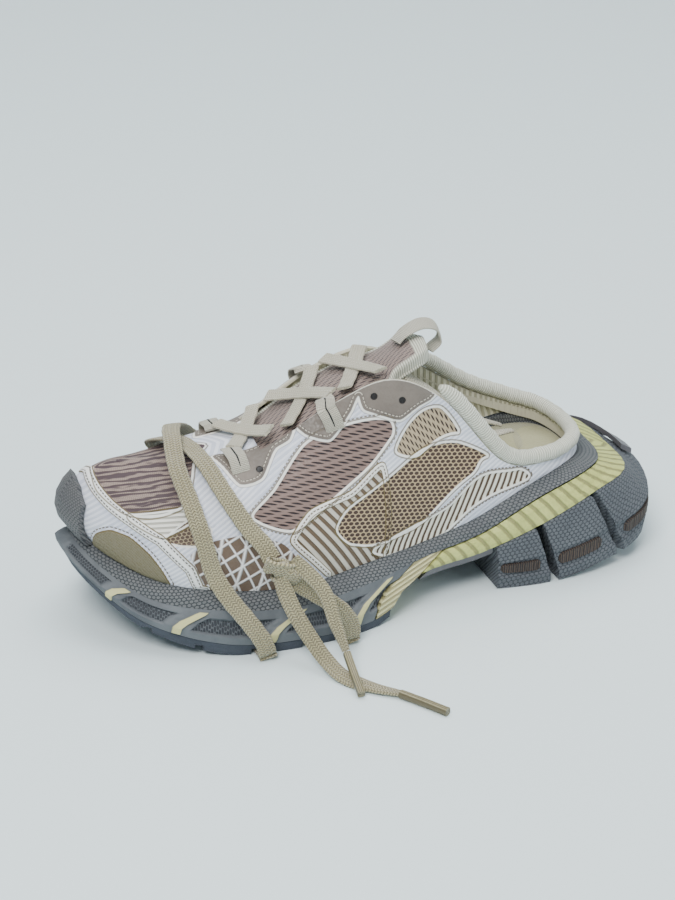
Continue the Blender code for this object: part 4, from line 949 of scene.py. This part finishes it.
# lining: the wall's inside, from just over the insole to under the rim
liningT, liningV = np.meshgrid(np.linspace(0, stationCount, 221)[:-1], np.linspace(0.06, 0.995, 24),
                               indexing="ij")
inner = wallPoint(liningT, liningV) - skinNormal(liningT, np.minimum(liningV, 0.985)) * (shoe["wall"]
        - 0.0002)
liningUv = np.stack([liningT * 14, liningV * 40], -1)
makePiece("lining", inner, gridQuads(220, 24, closeRows=True), finishes["lining"],
          uv=liningUv, flip=True)
crownInT, crownInU = np.meshgrid(np.linspace(0.0, 4.0, 50), np.linspace(0, 1, 24), indexing="ij")
crownIn = crownPoint(crownInT, crownInU, crownLift) - np.array([0, 0, shoe["wall"]])
makePiece("lining_crown", crownIn, gridQuads(50, 24), finishes["lining"],
          uv=np.stack([crownInT * 14, crownInU * 40], -1))
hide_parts("upper", "toe_patch_lateral", "toe_patch_medial", "eyestay_lateral",
            "eyestay_medial",
            "side_cage_lateral", "side_cage_medial")


# pods between cream ribs: how far each station's side stands in or out
podRibs = (1.40, 2.35, 3.50, 4.70)
pod = {"ribHalf": 0.05, "ribPush": 0.0014, "sink": 0.0021, "frame": 0.14}


# push of the pods' side: ribs stand out, windows between frames are sunk
def podProfile(t, share):
    away = np.min([np.abs(np.abs(t) - rib) for rib in podRibs], axis=0)
    rib = ease(-away, -pod["ribHalf"] - 0.012, -pod["ribHalf"] + 0.004)
    window = ease(away, pod["frame"], pod["frame"] + 0.06) * ease(np.abs(t), 0.25, 0.4)
    upDown = ease(share, 0.30, 0.40) * (1 - ease(share, 0.74, 0.84))
    return rib * pod["ribPush"] - window * upDown * pod["sink"], rib


wedgeFront = {"tread": 5.05, "belly": 5.12, "low": 5.25, "high": 5.80}
seam = 0.036


# pods: four levels of the sole's side joined straight, pushed by the profile
def frameSide():
    s = np.linspace(-1, 1, 561)[:, None]
    levels = ("tread", "belly", "low", "high")
    columns = [solePoint(s[:, 0] * (wedgeFront[k] - seam), k) for k in levels]
    knots = np.array([0.0, 0.42, 0.66, 1.0])
    share = np.linspace(0, 1, 29)
    grid = np.empty((len(s), len(share), 3))
    for j, q in enumerate(share):
        i = min(int(np.searchsorted(knots, q, "right")) - 1, 2)
        u = (q - knots[i]) / (knots[i + 1] - knots[i])
        grid[:, j] = columns[i] * (1 - u) + columns[i + 1] * u
    t = s * 5.0 + 0 * share[None, :]
    push, rib = podProfile(t, share[None, :])
    fade = ease(share, 0.02, 0.12)[None, :] * (1 - ease(share, 0.90, 0.98))[None, :]
    groove = np.exp(-((share[None, :] - 0.66) / 0.022) ** 2) * 0.0006 * (1 - rib)
    grid += outward(grid) * (push * fade - groove)[..., None]
    inner = grid[:, ::28] - outward(grid[:, ::28]) * 0.010
    rows = np.concatenate([grid, inner[:, ::-1]], 1)
    around = np.abs(s) * 250 + 0 * np.zeros((1, rows.shape[1]))
    uv = np.stack([around, np.concatenate([share, [1.1, 1.2]])[None, :] * 20 + 0 * around], -1)
    values = {"rib": np.concatenate([rib * fade, np.zeros((len(s), 2))], 1),
              "low": np.concatenate([ease(np.abs(push / pod["sink"]) * (push < 0), 0.5, 1.0),
                                     np.zeros((len(s), 2))], 1)}
    made, tree, shader = newFinish("framePods", 0.68)
    worn = effect(tree, "wear", Vector=coordinates(tree, "Object"), Scale=50.0)
    scaled = vectors(tree, "MULTIPLY", coordinates(tree, "Object"), (1000.0, 1000.0, 1000.0))
    cells = effect(tree, "hexCells", Vector=scaled, Pitch=1.4)["Ridge"]
    low = attributeOf(tree, "low")
    colour = blendTint(tree, worn["Blotch"], tint(122, 127, 131), tint(104, 109, 114))
    pits = maths(tree, "MULTIPLY", maths(tree, "SUBTRACT", 1.0, cells), low)
    colour = blendTint(tree, pits, colour, tint(70, 75, 82))
    colour = blendTint(tree, ramp(tree, attributeOf(tree, "rib"), 0.35, 0.7), colour, tint(208, 205, 160))
    tree.links.new(colour, shader.inputs["Base Color"])
    addBump(tree, shader, maths(tree, "SUBTRACT", maths(tree, "MULTIPLY", worn["Speckle"], 0.1), pits),
            0.0004)
    piece = makePiece("forefoot_pods", rows, gridQuads(len(s), rows.shape[1], closeCols=True), made,
                      uv=uv, values=values, smoothAngle=40, weld=False)
    caps = bmesh.new()
    caps.from_mesh(piece.data)
    bmesh.ops.holes_fill(caps, edges=caps.edges, sides=0)
    bmesh.ops.recalc_face_normals(caps, faces=caps.faces)
    caps.to_mesh(piece.data)
    caps.free()
    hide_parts("forefoot_frame")


frameSide()
print("forefoot pods built")


# the CAD's own solids get their finishes on their slots; their patterns follow Object coordinates or the
# side's uv
def sideUv(node):
    mesh = node.data
    layer = mesh.uv_layers.new(name="skin")
    count = len(mesh.loops)
    corner = np.empty(count, int)
    mesh.loops.foreach_get("vertex_index", corner)
    co = np.empty(len(mesh.vertices) * 3)
    mesh.vertices.foreach_get("co", co)
    world = np.c_[co.reshape(-1, 3), np.ones(len(mesh.vertices))] @ np.array(node.matrix_world).T
    p = world[corner, :3] * 1000
    # along the side: x where the side runs with the foot, an arc round the heel and the toe; up: z less
    # the reach
    y = np.abs(p[:, 1] - 6)
    around = np.where(p[:, 0] > 87, 87 + 52 * np.arctan2(p[:, 0] - 87, y), p[:, 0])
    around = np.where(p[:, 0] < -98, -98 - 52 * np.arctan2(-98 - p[:, 0], y), around)
    reach = np.linalg.norm(p[:, :2] - midLine(p[:, 0] / 1000) * 1000, axis=1)
    layer.data.foreach_set("uv", np.stack([around, p[:, 2] - reach], -1).ravel())
    layer.active = True


def dress(names, key, withUv=False):
    for name in names:
        node = bpy.data.objects.get(name)
        if node is None:
            print("no node", name)
            continue
        if withUv:
            sideUv(node)
        for k in range(len(node.material_slots)):
            node.material_slots[k].material = finishes[key]


dress(["midsole"], "foam", True)
dress(["chassis_band"], "band", True)
dress(["arch_wedge"], "cream", True)
dress(["shank_plate", "heel_ridge"], "plate")
dress(["outsole_forefoot"], "tread")
dress(["heel_block_front_lateral", "heel_block_front_medial", "heel_block_mid_lateral",
       "heel_block_mid_medial",
       "heel_block_rear"], "rubber", True)
dress(["toe_bumper"], "bumper", True)
print("sole dressed")


# brown ribbed strips that lie in the heel blocks' recesses, on both sides
recessSpans = ((7.27, 7.92), (8.22, 8.98), (9.42, 10.45))


# strip: tread to belly line, its ends rounded by an ellipse, with small ribs
def recessStrip(name, first, last):
    t = np.linspace(first, last, 40)
    share = np.linspace(0.26, 0.84, 12)
    tg, sg = np.meshgrid(t, share, indexing="ij")
    taper = np.minimum(np.arange(40), np.arange(40)[::-1]) / 5.0
    half = np.sqrt(np.clip(1 - (1 - np.clip(taper, 0, 1)) ** 2, 0.02, 1))[:, None]
    sg = 0.55 + (sg - 0.55) * half
    grid = solePoint(tg, "tread") * (1 - sg[..., None]) + solePoint(tg, "belly") * sg[..., None]
    border = np.minimum(np.minimum(np.arange(40), np.arange(40)[::-1])[:, None],
                        np.minimum(np.arange(12), np.arange(12)[::-1])[None, :])
    rib = 0.0003 * np.cos(np.cumsum(np.full(40, 1.3)))[:, None]
    grid = grid + outward(grid) * (np.where(border > 0, 0.0002, -0.0024) + rib * (border > 1))[..., None]
    reach = np.r_[0, np.cumsum(np.linalg.norm(np.diff(grid[:, 6], axis=0), axis=1))] * 1000
    uv = np.stack([reach[:, None] + 0 * sg, sg * 12], -1)
    makePiece(name, grid, gridQuads(40, 12), finishes["recess"], uv=uv)


for number, (first, last) in enumerate(recessSpans, 1):
    recessStrip(f"recess_strip_lateral_{number}", first, last)
    recessStrip(f"recess_strip_medial_{number}", -last, -first)


# collar roll: a soft tube on the rim, a little puckered
def collar():
    t = np.linspace(6.85, 15.2, 420)
    rim = (wallPoint(t, 1.0) * 2 - skinNormal(t, 0.985) * shoe["wall"]) / 2
    tangents = np.gradient(rim, axis=0)
    tangents /= np.linalg.norm(tangents, axis=1, keepdims=True)
    up = np.array([0, 0, 1.0]) - tangents * tangents[:, 2:]
    up /= np.linalg.norm(up, axis=1, keepdims=True)
    side = np.cross(tangents, up)
    u = np.linspace(0, 2 * math.pi, 29)[:-1]
    ends = np.sqrt(np.clip(1 - (np.abs(np.linspace(-1, 1, len(t))) - 0.93).clip(0) ** 2 / 0.07 ** 2, 0.10,
                           1))
    reach = np.r_[0, np.cumsum(np.linalg.norm(np.diff(rim, axis=0), axis=1))] * 1000
    pucker = 0.00012 * np.sin(reach * 0.7) + 0.00008 * np.sin(reach * 1.9 + 1)
    radius = (0.0037 * ends + pucker)[:, None]
    centre = rim + up * 0.0043
    ring = centre[:, None] + side[:, None] * (radius * np.cos(u))[..., None] + up[:, None] * (radius * 1.02
            * np.sin(u))[..., None]
    rows = np.concatenate([centre[:1, None].repeat(len(u), 1), ring, centre[-1:, None].repeat(len(u), 1)])
    uvReach = np.r_[reach[0], reach, reach[-1]]
    uv = np.stack([uvReach[:, None] + 0 * u, (u * 3.7)[None, :] + 0 * uvReach[:, None]], -1)
    piece = makePiece("collar_soft", rows, gridQuads(len(rows), len(u), closeCols=True), finishes["knit"],
                      uv=uv)
    fixFaces(piece)
    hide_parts("collar_roll")


def fixFaces(piece):
    shape = bmesh.new()
    shape.from_mesh(piece.data)
    bmesh.ops.recalc_face_normals(shape, faces=shape.faces)
    shape.to_mesh(piece.data)
    shape.free()


collar()


# insole: its top follows the recess, softly dished, with a seam near the border
def insole():
    t = np.linspace(0, stationCount, 331)[:-1]
    foot = solePoint(t, "feather")
    foot = foot - outward(foot) * (shoe["wall"] + 0.0018)
    foot[:, 2] = along(heightOf["bed"], t) + 0.0045 + 0.0004
    mid = np.concatenate([midLine(foot[:, 0]), foot[:, 2:]], 1)
    share = np.array([0.0, 0.0, 0.006, 0.03, 0.06, 0.09, 0.2, 0.4, 0.6, 0.8, 1.0])
    sink = np.array([-0.0040, -0.0005, 0.0, 0.0002, -0.0001, 0.0, -0.0002, -0.0004, -0.0005, -0.0005,
                     -0.0005])
    rows = foot[:, None] * (1 - share[None, :, None]) + mid[:, None] * share[None, :, None]
    rows[..., 2] += sink[None, :]
    uv = rows[..., :2] * 1000
    makePiece("insole_top", rows, gridQuads(len(t), len(share), closeRows=True), finishes["insole"],
              uv=uv)


insole()
dress(["insole"], "insole")
print("collar and insole built")


# tongue: the CAD's sections with rounded edges, padded, with long slits on its top
tongueFree = ((0.006, 0.0045, 0.76), (0.014, 0.0090, 0.74), (0.021, 0.0110, 0.64), (0.0255, 0.0105, 0.46))


def tongue():
    t = np.linspace(3.7, 6.0, 90)
    under = shoe["wall"] + 3 * shoe["gap"]
    u = np.linspace(0, 1, 41)
    lift = crownLift + (0.003 - crownLift) * np.clip((t - 4) / 0.5, 0, 1)
    tops = []
    for a, l in zip(t, lift):
        edge = wallPoint(a, 0.90) - skinNormal(a, 0.90) * under
        other = wallPoint(-a, 0.90) - skinNormal(-a, 0.90) * under
        u2 = np.array([0, 0.25, 0.5, 0.75, 1.0])
        mids = crownPoint(np.full(5, a), u2, 0) + np.array([0, 0, 1.0]) * (l * 4 * u2 * (1 - u2))[:,
                None] - np.array([0, 0, under])
        row = np.vstack([edge, mids, other])
        s = np.r_[0, np.cumsum(np.linalg.norm(np.diff(row, axis=0), axis=1))]
        tops.append(np.stack([np.interp(u * s[-1], s, row[:, k]) for k in range(3)], -1))
    last = tops[-1]
    middle = last.mean(axis=0)
    free = [(0.0, 0.0, 1.0)] + list(tongueFree)
    table = smoothLine(free, 0.0009)
    for dx, dz, width in table[1:]:
        grown = last.copy()
        squash = 0.8 + 0.2 * max(0, 1 - dx / 0.006)
        grown[:, 1] = middle[1] + (last[:, 1] - middle[1]) * width
        grown[:, 2] = middle[2] + (last[:, 2] - middle[2]) * squash
        tops.append(grown + np.array([dx, 0, dz]))
    tops = np.array(tops)
    # rounded border: the edge's thickness falls to nothing by an ellipse
    border = np.minimum(np.minimum(u, 1 - u)[None, :] * 20,
                        1) * np.minimum((len(tops) - 1 - np.arange(len(tops)))[:, None] / 5.0, 1)
    pad = np.sqrt(np.clip(1 - (1 - border) ** 2, 0, 1))
    thick = 0.0055
    up = np.array([0, 0, 1.0])
    top = tops - up * (thick / 2 * (1 - pad))[..., None]
    low = tops - up * (thick / 2 * (1 + pad))[..., None]
    rows = np.concatenate([top, low[:, ::-1]], 1)
    reach = np.r_[0, np.cumsum(np.linalg.norm(np.diff(tops[:, 20], axis=0), axis=1))] * 1000
    acrossUv = (u - 0.5) * 60
    uv = np.stack([reach[:, None] + 0 * rows[..., 0], np.concatenate([acrossUv, acrossUv[::-1]])[None, :]
                   + 0 * reach[:, None]], -1)
    window = np.concatenate([pad * 0 + ease(np.minimum(u, 1 - u), 0.12, 0.14)[None, :]
                             * (1 - ease(reach, reach[-1] - 9, reach[-1] - 8))[:, None], 0 * pad], 1)
    made, tree, shader = newFinish("tongueCloth", 0.9, Sheen_Weight=0.3)
    inUv = coordinates(tree)
    slits = effect(tree, "slitRows", Vector=turnedVector(tree, inUv, 0), Length=7.0, Pitch=1.9)["Slit"]
    knitRib = grooveRelief(1.3, 0, 0.24)(tree, inUv)
    win = attributeOf(tree, "window")
    plain = blendTint(tree, knitRib, tint(222, 222, 210), tint(176, 176, 160))
    meshy = blendTint(tree, slits, tint(160, 144, 136), tint(70, 56, 62))
    tree.links.new(blendTint(tree, win, plain, meshy), shader.inputs["Base Color"])
    addBump(tree, shader, maths(tree, "SUBTRACT", 1.0,
                                maths(tree, "MAXIMUM", maths(tree, "MULTIPLY", knitRib, 0.4),
                                                             maths(tree, "MULTIPLY", slits, win))), 0.0005)
    piece = makePiece("tongue_soft", rows, gridQuads(*rows.shape[:2], closeCols=True), made,
                      uv=uv,
                      values={"window": window}, weld=False)
    caps = bmesh.new()
    caps.from_mesh(piece.data)
    bmesh.ops.remove_doubles(caps, verts=caps.verts, dist=2e-6)
    bmesh.ops.holes_fill(caps, edges=caps.edges, sides=0)
    bmesh.ops.recalc_face_normals(caps, faces=caps.faces)
    caps.to_mesh(piece.data)
    caps.free()
    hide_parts("tongue")


tongue()
print("tongue built")


# ribbon or cord along a path: a closed superellipse carried on turned frames
def ribbon(name, path, ups, width, thickness, key, power=0.55, sides=28, ripple=0.0):
    path, ups = np.asarray(path, float), np.asarray(ups, float)
    tangents = np.gradient(path, axis=0)
    tangents /= np.linalg.norm(tangents, axis=1, keepdims=True)
    across = np.cross(tangents, ups)
    across /= np.linalg.norm(across, axis=1, keepdims=True)
    up = np.cross(across, tangents)
    a = np.linspace(0, 2 * math.pi, sides + 1)[:-1]
    ca, sa = np.cos(a), np.sin(a)
    px, py = np.sign(ca) * np.abs(ca) ** power, np.sign(sa) * np.abs(sa) ** power
    width, thickness = (np.broadcast_to(np.asarray(w, float), (len(path),)) for w in (width, thickness))
    reach = np.r_[0, np.cumsum(np.linalg.norm(np.diff(path, axis=0), axis=1))] * 1000
    wob = 1 + ripple * np.sin(reach * 0.9)
    ring = (path[:, None] + across[:, None] * ((width * wob / 2)[:, None] * px)[..., None]
            + up[:, None] * ((thickness / 2)[:, None] * py)[..., None])
    rows = np.concatenate([path[:1, None].repeat(sides, 1), ring, path[-1:, None].repeat(sides, 1)])
    uvReach = np.r_[reach[0], reach, reach[-1]]
    acrossUv = px * np.mean(width) * 500
    uv = np.stack([uvReach[:, None] + 0 * acrossUv, acrossUv[None, :] + 0 * uvReach[:, None]], -1)
    piece = makePiece(name, rows, gridQuads(len(rows), sides, closeCols=True), finishes[key],
                      uv=uv, smoothAngle=70)
    fixFaces(piece)
    return piece


wrapRoute = (
    (-67.7, -54.2, 49), (-70.5, -50.5, 55), (-76, -44, 62), (-83, -34.5, 74.5), (-88, -19.5, 84.5),
             (-91, -4.5, 87),
    (-94, 6.5, 86.5), (-97.5, 16.5, 83), (-100, 25.5, 78.5), (-97, 37.5, 70.5), (-89, 48.5, 57),
             (-82, 53.5, 39),
    (-79, 57, 28), (-76, 62.5, 18), (-75, 65.5, 10), (-74.5, 65, 3.6), (-74, 61.5, 1.3), (-74, 53.5, 1.4),
    (-73.5, 3.5, 1.4), (-73, -58.5, 1.3), (-73.5, -63.5, 3.0), (-76, -64, 12), (-82, -60, 22),
             (-89, -52.5, 32),
    (-94, -46.5, 42.5), (-97, -41.5, 58), (-99.5, -33, 71.5), (-101.5, -20, 83), (-100.5, -10.5, 87.5),
    (-99, -2.5, 91), (-97, 6.5, 91.5), (-93.5, 16.5, 89), (-89.5, 26.5, 84), (-81, 40, 74), (-66, 50.5, 55),
    (-50, 54.5, 39), (-40, 56, 28), (-34, 59, 18), (-32.5, 62.5, 10), (-32, 62, 3.6), (-32, 58.5, 1.3),
    (-32, 49.5, 1.4), (-31.5, 3.5, 1.4), (-31, -58.5, 1.3), (-31.5, -63.5, 3.0), (-32, -64.5, 12),
             (-37, -64.5, 21),
    (-45, -62.5, 28), (-51, -61, 32.5), (-57.8, -60.4, 38))
knotPlace = {"middle": (-63, -58, 43), "size": (15, 9, 17)}
lace = {"wrapWidth": 0.0088, "wrapThickness": 0.0016, "throatWidth": 0.0078, "throatThickness": 0.0015}


# long lace: the route lifted off the skin, away from the foot's axis
def wrapLace():
    path = smoothLine(np.array(wrapRoute) * 0.001, 0.0014)
    axis = np.stack([path[:, 0], 0.0035 + 0 * path[:, 0], 0.035 + 0 * path[:, 0]], -1)
    away = path - axis
    over = ease(path[:, 2], 0.0030, 0.0055)[:, None]
    path = path + over * 0.0012 * away / np.linalg.norm(away, axis=1, keepdims=True)
    piece = ribbon("wrap_lace_flat", path, away, lace["wrapWidth"], lace["wrapThickness"], "wrap",
                   ripple=0.025)
    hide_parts("wrap_lace")


# knot: three flat loops round each other and the tucked end, as rings of ribbon in the knot's own box
def laceKnot():
    c = np.array(knotPlace["middle"]) * 0.001
    u = np.linspace(0, 2 * math.pi, 97)[:-1]
    along3 = np.array([-0.45, -0.35, 0.82])
    side3 = np.array([0.80, -0.52, 0.30])
    out3 = np.array([-0.2, -0.85, 0.10])
    out3 = out3 / np.linalg.norm(out3)
    pieces = []
    for k, (shift, radiusA, radiusB, turn, tilt) in enumerate((((0, 0, 0), 0.0066, 0.0046, 0.0, 0.3),
                                                              ((0.0018, -0.0006, -0.003), 0.0062, 0.0044,
                                                               1.1, -0.4),
                                                              ((-0.002, -0.0004, 0.0035), 0.0056, 0.0040,
                                                               2.2, 0.2))):
        a = along3 * math.cos(turn) + side3 * math.sin(turn)
        b = -along3 * math.sin(turn) + side3 * math.cos(turn)
        a, b = a / np.linalg.norm(a), b / np.linalg.norm(b)
        ring = (c + np.array(shift) + a * radiusA * np.cos(u)[:, None] + out3 * radiusB * 0.75
                * np.sin(u)[:, None]
                + b * tilt * 0.002 * np.cos(2 * u)[:, None])
        tangents = np.gradient(ring, axis=0)
        tangents /= np.linalg.norm(tangents, axis=1, keepdims=True)
        across = b - tangents * (tangents @ b)[:, None]
        across /= np.linalg.norm(across, axis=1, keepdims=True)
        up = np.cross(across, tangents)
        v = np.linspace(0, 2 * math.pi, 25)[:-1]
        px, py = np.sign(np.cos(v)) * np.abs(np.cos(v)) ** 0.6, np.sign(np.sin(v)) * np.abs(np.sin(v)) ** 0.6
        rows = ring[:, None] + across[:, None] * (0.0042 * px)[None, :, None] + up[:, None] * (0.0012
                * py)[None, :, None]
        uv = np.stack([np.degrees(u)[:, None] * 0.1 + 0 * px, 3.6 * px[None, :] + 0 * u[:, None]], -1)
        piece = makePiece(f"lace_knot_turn_{k + 1}", rows,
                          gridQuads(len(u), len(v), closeRows=True, closeCols=True),
                          finishes["wrap"], uv=uv)
        fixFaces(piece)
        pieces.append(piece)
    return pieces


# free end: a ribbon whose width runs through a short table
def endCord(name, route, width, thickness, node, key, ups=(0.0, 0.3, 1.0),
            upsEnd=(0.0, 0.0, 1.0), widths=None):
    path = smoothLine(np.array(route) * 0.001, 0.0010)
    share = np.linspace(0, 1, len(path))[:, None]
    flat = np.array(ups) * (1 - share) + np.array(upsEnd) * share
    piece = ribbon(name, path, flat, width if widths is None
                   else np.interp(np.linspace(0, 1, len(path)), *widths),
                   thickness, key, power=0.7)
    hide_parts(node)
    return piece, path


wrapLace()
knotPieces = laceKnot()
frontRoute = ((-66, -61, 42), (-62, -68.5, 28), (-56, -75.5, 15), (-51, -83.5, 6.5), (-46, -94.5, 2.6),
              (-37, -106.5, 2.4),
              (-27, -115.5, 2.4))
rearRoute = ((-59, -60, 50), (-48, -70.5, 37), (-44.5, -78.5, 22), (-42, -85.5, 11))
front, frontPath = endCord("lace_end_front_flat", frontRoute, 0.0074, 0.0020, "lace_end_front", "wrap",
                           ups=(-0.5, -0.75, 0.3), upsEnd=(-0.1, -0.2, 1.0),
                           widths=((0, 0.08, 0.75, 1.0), (0.0066, 0.0082, 0.0070, 0.0036)))
rear, rearPath = endCord("lace_end_rear_flat", rearRoute, 0.0072, 0.0026, "lace_end_rear", "wrap",
                         ups=(-0.5, -0.75, 0.3), upsEnd=(-0.3, -0.7, 0.5),
                         widths=((0, 0.1, 0.7, 1.0), (0.0066, 0.0076, 0.0066, 0.0038)))
tipFront, unseen = endCord("lace_tip_front_wrapped",
                                 ((-26.6, -115.9, 2.3), (-19, -126.5, 2.2), (-12, -137, 2.15)),
                                 0.0038, 0.0038, "lace_tip_front", "tip")
tipRear, unseen = endCord("lace_tip_rear_wrapped",
                               ((-41.9, -86.4, 10.0), (-42.8, -98, 6.1), (-43.6, -110, 2.2)),
                               0.0038, 0.0038, "lace_tip_rear", "tip")
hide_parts("lace_knot")
print("long lace, knot and ends built")


# throat laces: straight from loop to loop with a low arch, diagonals crossing over the tongue
crossings = ((3.55, 4.25, 0.0004), (4.45, 5.1, -0.0012), (5.3, 5.9, -0.0012))


def throatStrip(name, first, last, flip, lift):
    u = np.linspace(0.10, 0.90, 90)
    t = first + (last - first) * (u - u[0]) / (u[-1] - u[0])
    if flip:
        u = 1 - u
    points = crownPoint(t, u, 0) + np.array([0, 0, 1.0]) * (0.003 * 4 * u * (1 - u))[:, None]
    slope = crownPoint(t + 0.1, u, 0) - crownPoint(t - 0.1, u, 0)
    ups = np.stack([-slope[:, 2], 0 * u, slope[:, 0]], -1)
    ups /= np.linalg.norm(ups, axis=1, keepdims=True)
    points = points + ups * (lift + 0.0044 * (2 * u - 1) ** 2)[:, None]
    return ribbon(name, points, ups, lace["throatWidth"], lace["throatThickness"], "lace",
                  ripple=0.03)


for number, (first, last, lift) in enumerate(crossings, 1):
    strip = throatStrip(f"throat_lace_{number}_under", first, last, False, lift)
    throatStrip(f"throat_lace_{number}_over", first, last, True, lift + 0.0013)
    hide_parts(f"lace_crossing_{number}")

# webbing loops of the throat with one dark line each
for side, sign in (("lateral", 1), ("medial", -1)):
    for number, t in enumerate((3.47, 4.95), 1):
        lift = 0.0012 + 0.0006 + 0.0020
        rows = [wallPoint(sign * t, v) + skinNormal(sign * t, v) * (lift * ease(v, 0.80, 0.88) + 0.0006)
                for v in (0.80, 0.84, 0.90, 0.955, 0.985)]
        rows += [wallPoint(sign * t, 1.0) + np.array([0, 0.0015 * sign, lift + 0.0004])]
        rows += [wallPoint(sign * t, 1.0) + np.array([0, 0.0045 * sign, lift - 0.0006])]
        path = smoothLine(np.array(rows), 0.0007)
        ups = np.tile(skinNormal(sign * t, 0.9), (len(path), 1))
        ups[-6:] = ups[-6:] * 0.5 + np.array([0, 0, 0.5])
        tape = ribbon(f"keeper_{side}_{number}", path, ups, 0.0092, 0.0013, "tape")
        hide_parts(f"lace_keeper_{side}_{number}")
        line = path[2:-3] + ups[2:-3] / np.linalg.norm(ups[2:-3], axis=1, keepdims=True) * 0.00052
        ribbon(f"keeper_line_{side}_{number}", line, ups[2:-3], 0.0009, 0.0005, "dark", sides=10)

# the throat lace's two ends, loose inside the shoe
innerRoutes = (((15.1, -5.5, 111.8), (34, -5.5, 97), (51, -2.5, 81), (74, 1.5, 69)),
               ((16, -11, 111.2), (36, -13.5, 95), (54, -15.5, 76), (76, -8.5, 70)))
for number, route in enumerate(innerRoutes, 1):
    piece, path = endCord(f"inner_end_{number}", route, 0.0060, 0.0018, f"inner_lace_end_{number}", "lace",
                          ups=(0.6, -0.3, 0.7), widths=((0, 0.8, 1), (0.006, 0.006, 0.0034)))

loopPath = smoothLine(np.array(((18, 6.5, 121.5), (24, 7.5, 125.7), (33, 9.5, 127.5), (41, 11.5, 124.5),
                                (43.5, 11.5, 117.5),
                                (37.5, 10.5, 112.5))) * 0.001, 0.0008)
loopUps = np.cross(np.gradient(loopPath, axis=0), np.array([0.25, 1.0, 0.05]))
loopPiece = ribbon("pull_loop_tape", loopPath, loopUps, 0.011, 0.0014, "tape")
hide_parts("pull_loop")
print("throat laces, loops and inner ends built")


# camera as fitted to the photograph: azimuth -21, elevation 28, 1.08 m away, the shoe's middle a little
# off centre
view = {"azimuth": -21.0, "elevation": 28.0, "distance": 1.0805, "pixels": 2153.3,
        "middle": (-0.0038, 0.0036, 0.040),
        "landsOn": (354.9, 498.7), "width": 675, "height": 900}


# camera or lamp with its -Z along a direction and no roll
def aim(item, direction):
    up = np.array([0, 0, 1.0])
    forward = np.array(direction) / np.linalg.norm(direction)
    right = np.cross(forward, up)
    right /= np.linalg.norm(right)
    item.matrix_world = Matrix(np.vstack([np.c_[right, np.cross(right, forward), -forward,
                                                np.array(item.location)],
                                          [0, 0, 0, 1]]).tolist())


def placeCamera():
    a, e = math.radians(view["azimuth"]), math.radians(view["elevation"])
    back = np.array([math.sin(a) * math.cos(e), -math.cos(a) * math.cos(e), math.sin(e)])
    right = np.array([math.cos(a), math.sin(a), 0])
    up = np.cross(back, right)
    dx = (view["landsOn"][0] - view["width"] / 2) / view["pixels"]
    dy = -(view["landsOn"][1] - view["height"] / 2) / view["pixels"]
    pitch, yaw = math.atan(dy), math.atan(dx / math.sqrt(1 + dy * dy))
    forward = -back * math.cos(pitch) - up * math.sin(pitch)
    forward = forward * math.cos(yaw) - right * math.sin(yaw)
    data = bpy.data.cameras.new("view")
    data.sensor_width = 36
    data.sensor_fit = "VERTICAL"
    data.sensor_height = 36
    data.lens = view["pixels"] / view["height"] * 36
    data.clip_end = 20
    item = bpy.data.objects.new("view", data)
    bpy.context.scene.collection.objects.link(item)
    item.location = np.array(view["middle"]) + back * view["distance"]
    aim(item, forward)
    bpy.context.scene.camera = item


placeCamera()


# floor that curves up far behind, and soft studio lights
def floor():
    reach = np.concatenate([np.linspace(-2.5, 1.6, 12), 1.6 + 1.2
                            * np.sin(np.linspace(0.1, math.pi / 2, 14)),
                            [2.8, 2.8]])
    rise = np.concatenate([np.zeros(12), 1.2 * (1 - np.cos(np.linspace(0.1, math.pi / 2, 14))), [2.2, 4.0]])
    a = math.radians(view["azimuth"])
    back = np.array([-math.sin(a), math.cos(a), 0])
    side = np.array([math.cos(a), math.sin(a), 0])
    x = np.linspace(-4, 4, 5)
    rows = back * reach[:, None, None] + side * x[None, :, None] + np.array([0, 0, 1.0]) * rise[:, None,
            None]
    mesh = bpy.data.meshes.new("floor")
    mesh.from_pydata(rows.reshape(-1, 3).tolist(), [], gridQuads(len(reach), 5)[:, ::-1].tolist())
    made, tree, shader = newFinish("floorPaint", 0.75)
    shader.inputs["Base Color"].default_value = tint(230, 241, 243)
    mesh.materials.append(made)
    mesh.shade_smooth()
    item = bpy.data.objects.new("floor", mesh)
    bpy.context.scene.collection.objects.link(item)
    return item


def lamp(name, place, size, power, colour=(1, 1, 1)):
    data = bpy.data.lights.new(name, "AREA")
    data.shape = "RECTANGLE"
    data.size, data.size_y = size
    data.energy = power
    data.color = colour
    item = bpy.data.objects.new(name, data)
    bpy.context.scene.collection.objects.link(item)
    item.location = place
    aim(item, np.array((0, 0, 0.03)) - np.array(place) + 1e-4)
    return item


ground = floor()
lamps = [lamp("key_light", (-0.9, -1.1, 1.9), (0.9, 0.9), 54, (1, 0.99, 0.975)),
         lamp("fill_light", (1.6, -1.4, 1.1), (1.6, 1.6), 15, (0.93, 0.98, 1)),
         lamp("top_light", (0.2, 0.5, 2.3), (2.0, 2.0), 50, (0.97, 0.99, 1))]
world = bpy.data.worlds.new("soft_sky")
world.use_nodes = True
world.node_tree.nodes["Background"].inputs[0].default_value = tint(226, 231, 236)
world.node_tree.nodes["Background"].inputs[1].default_value = 0.5
bpy.context.scene.world = world
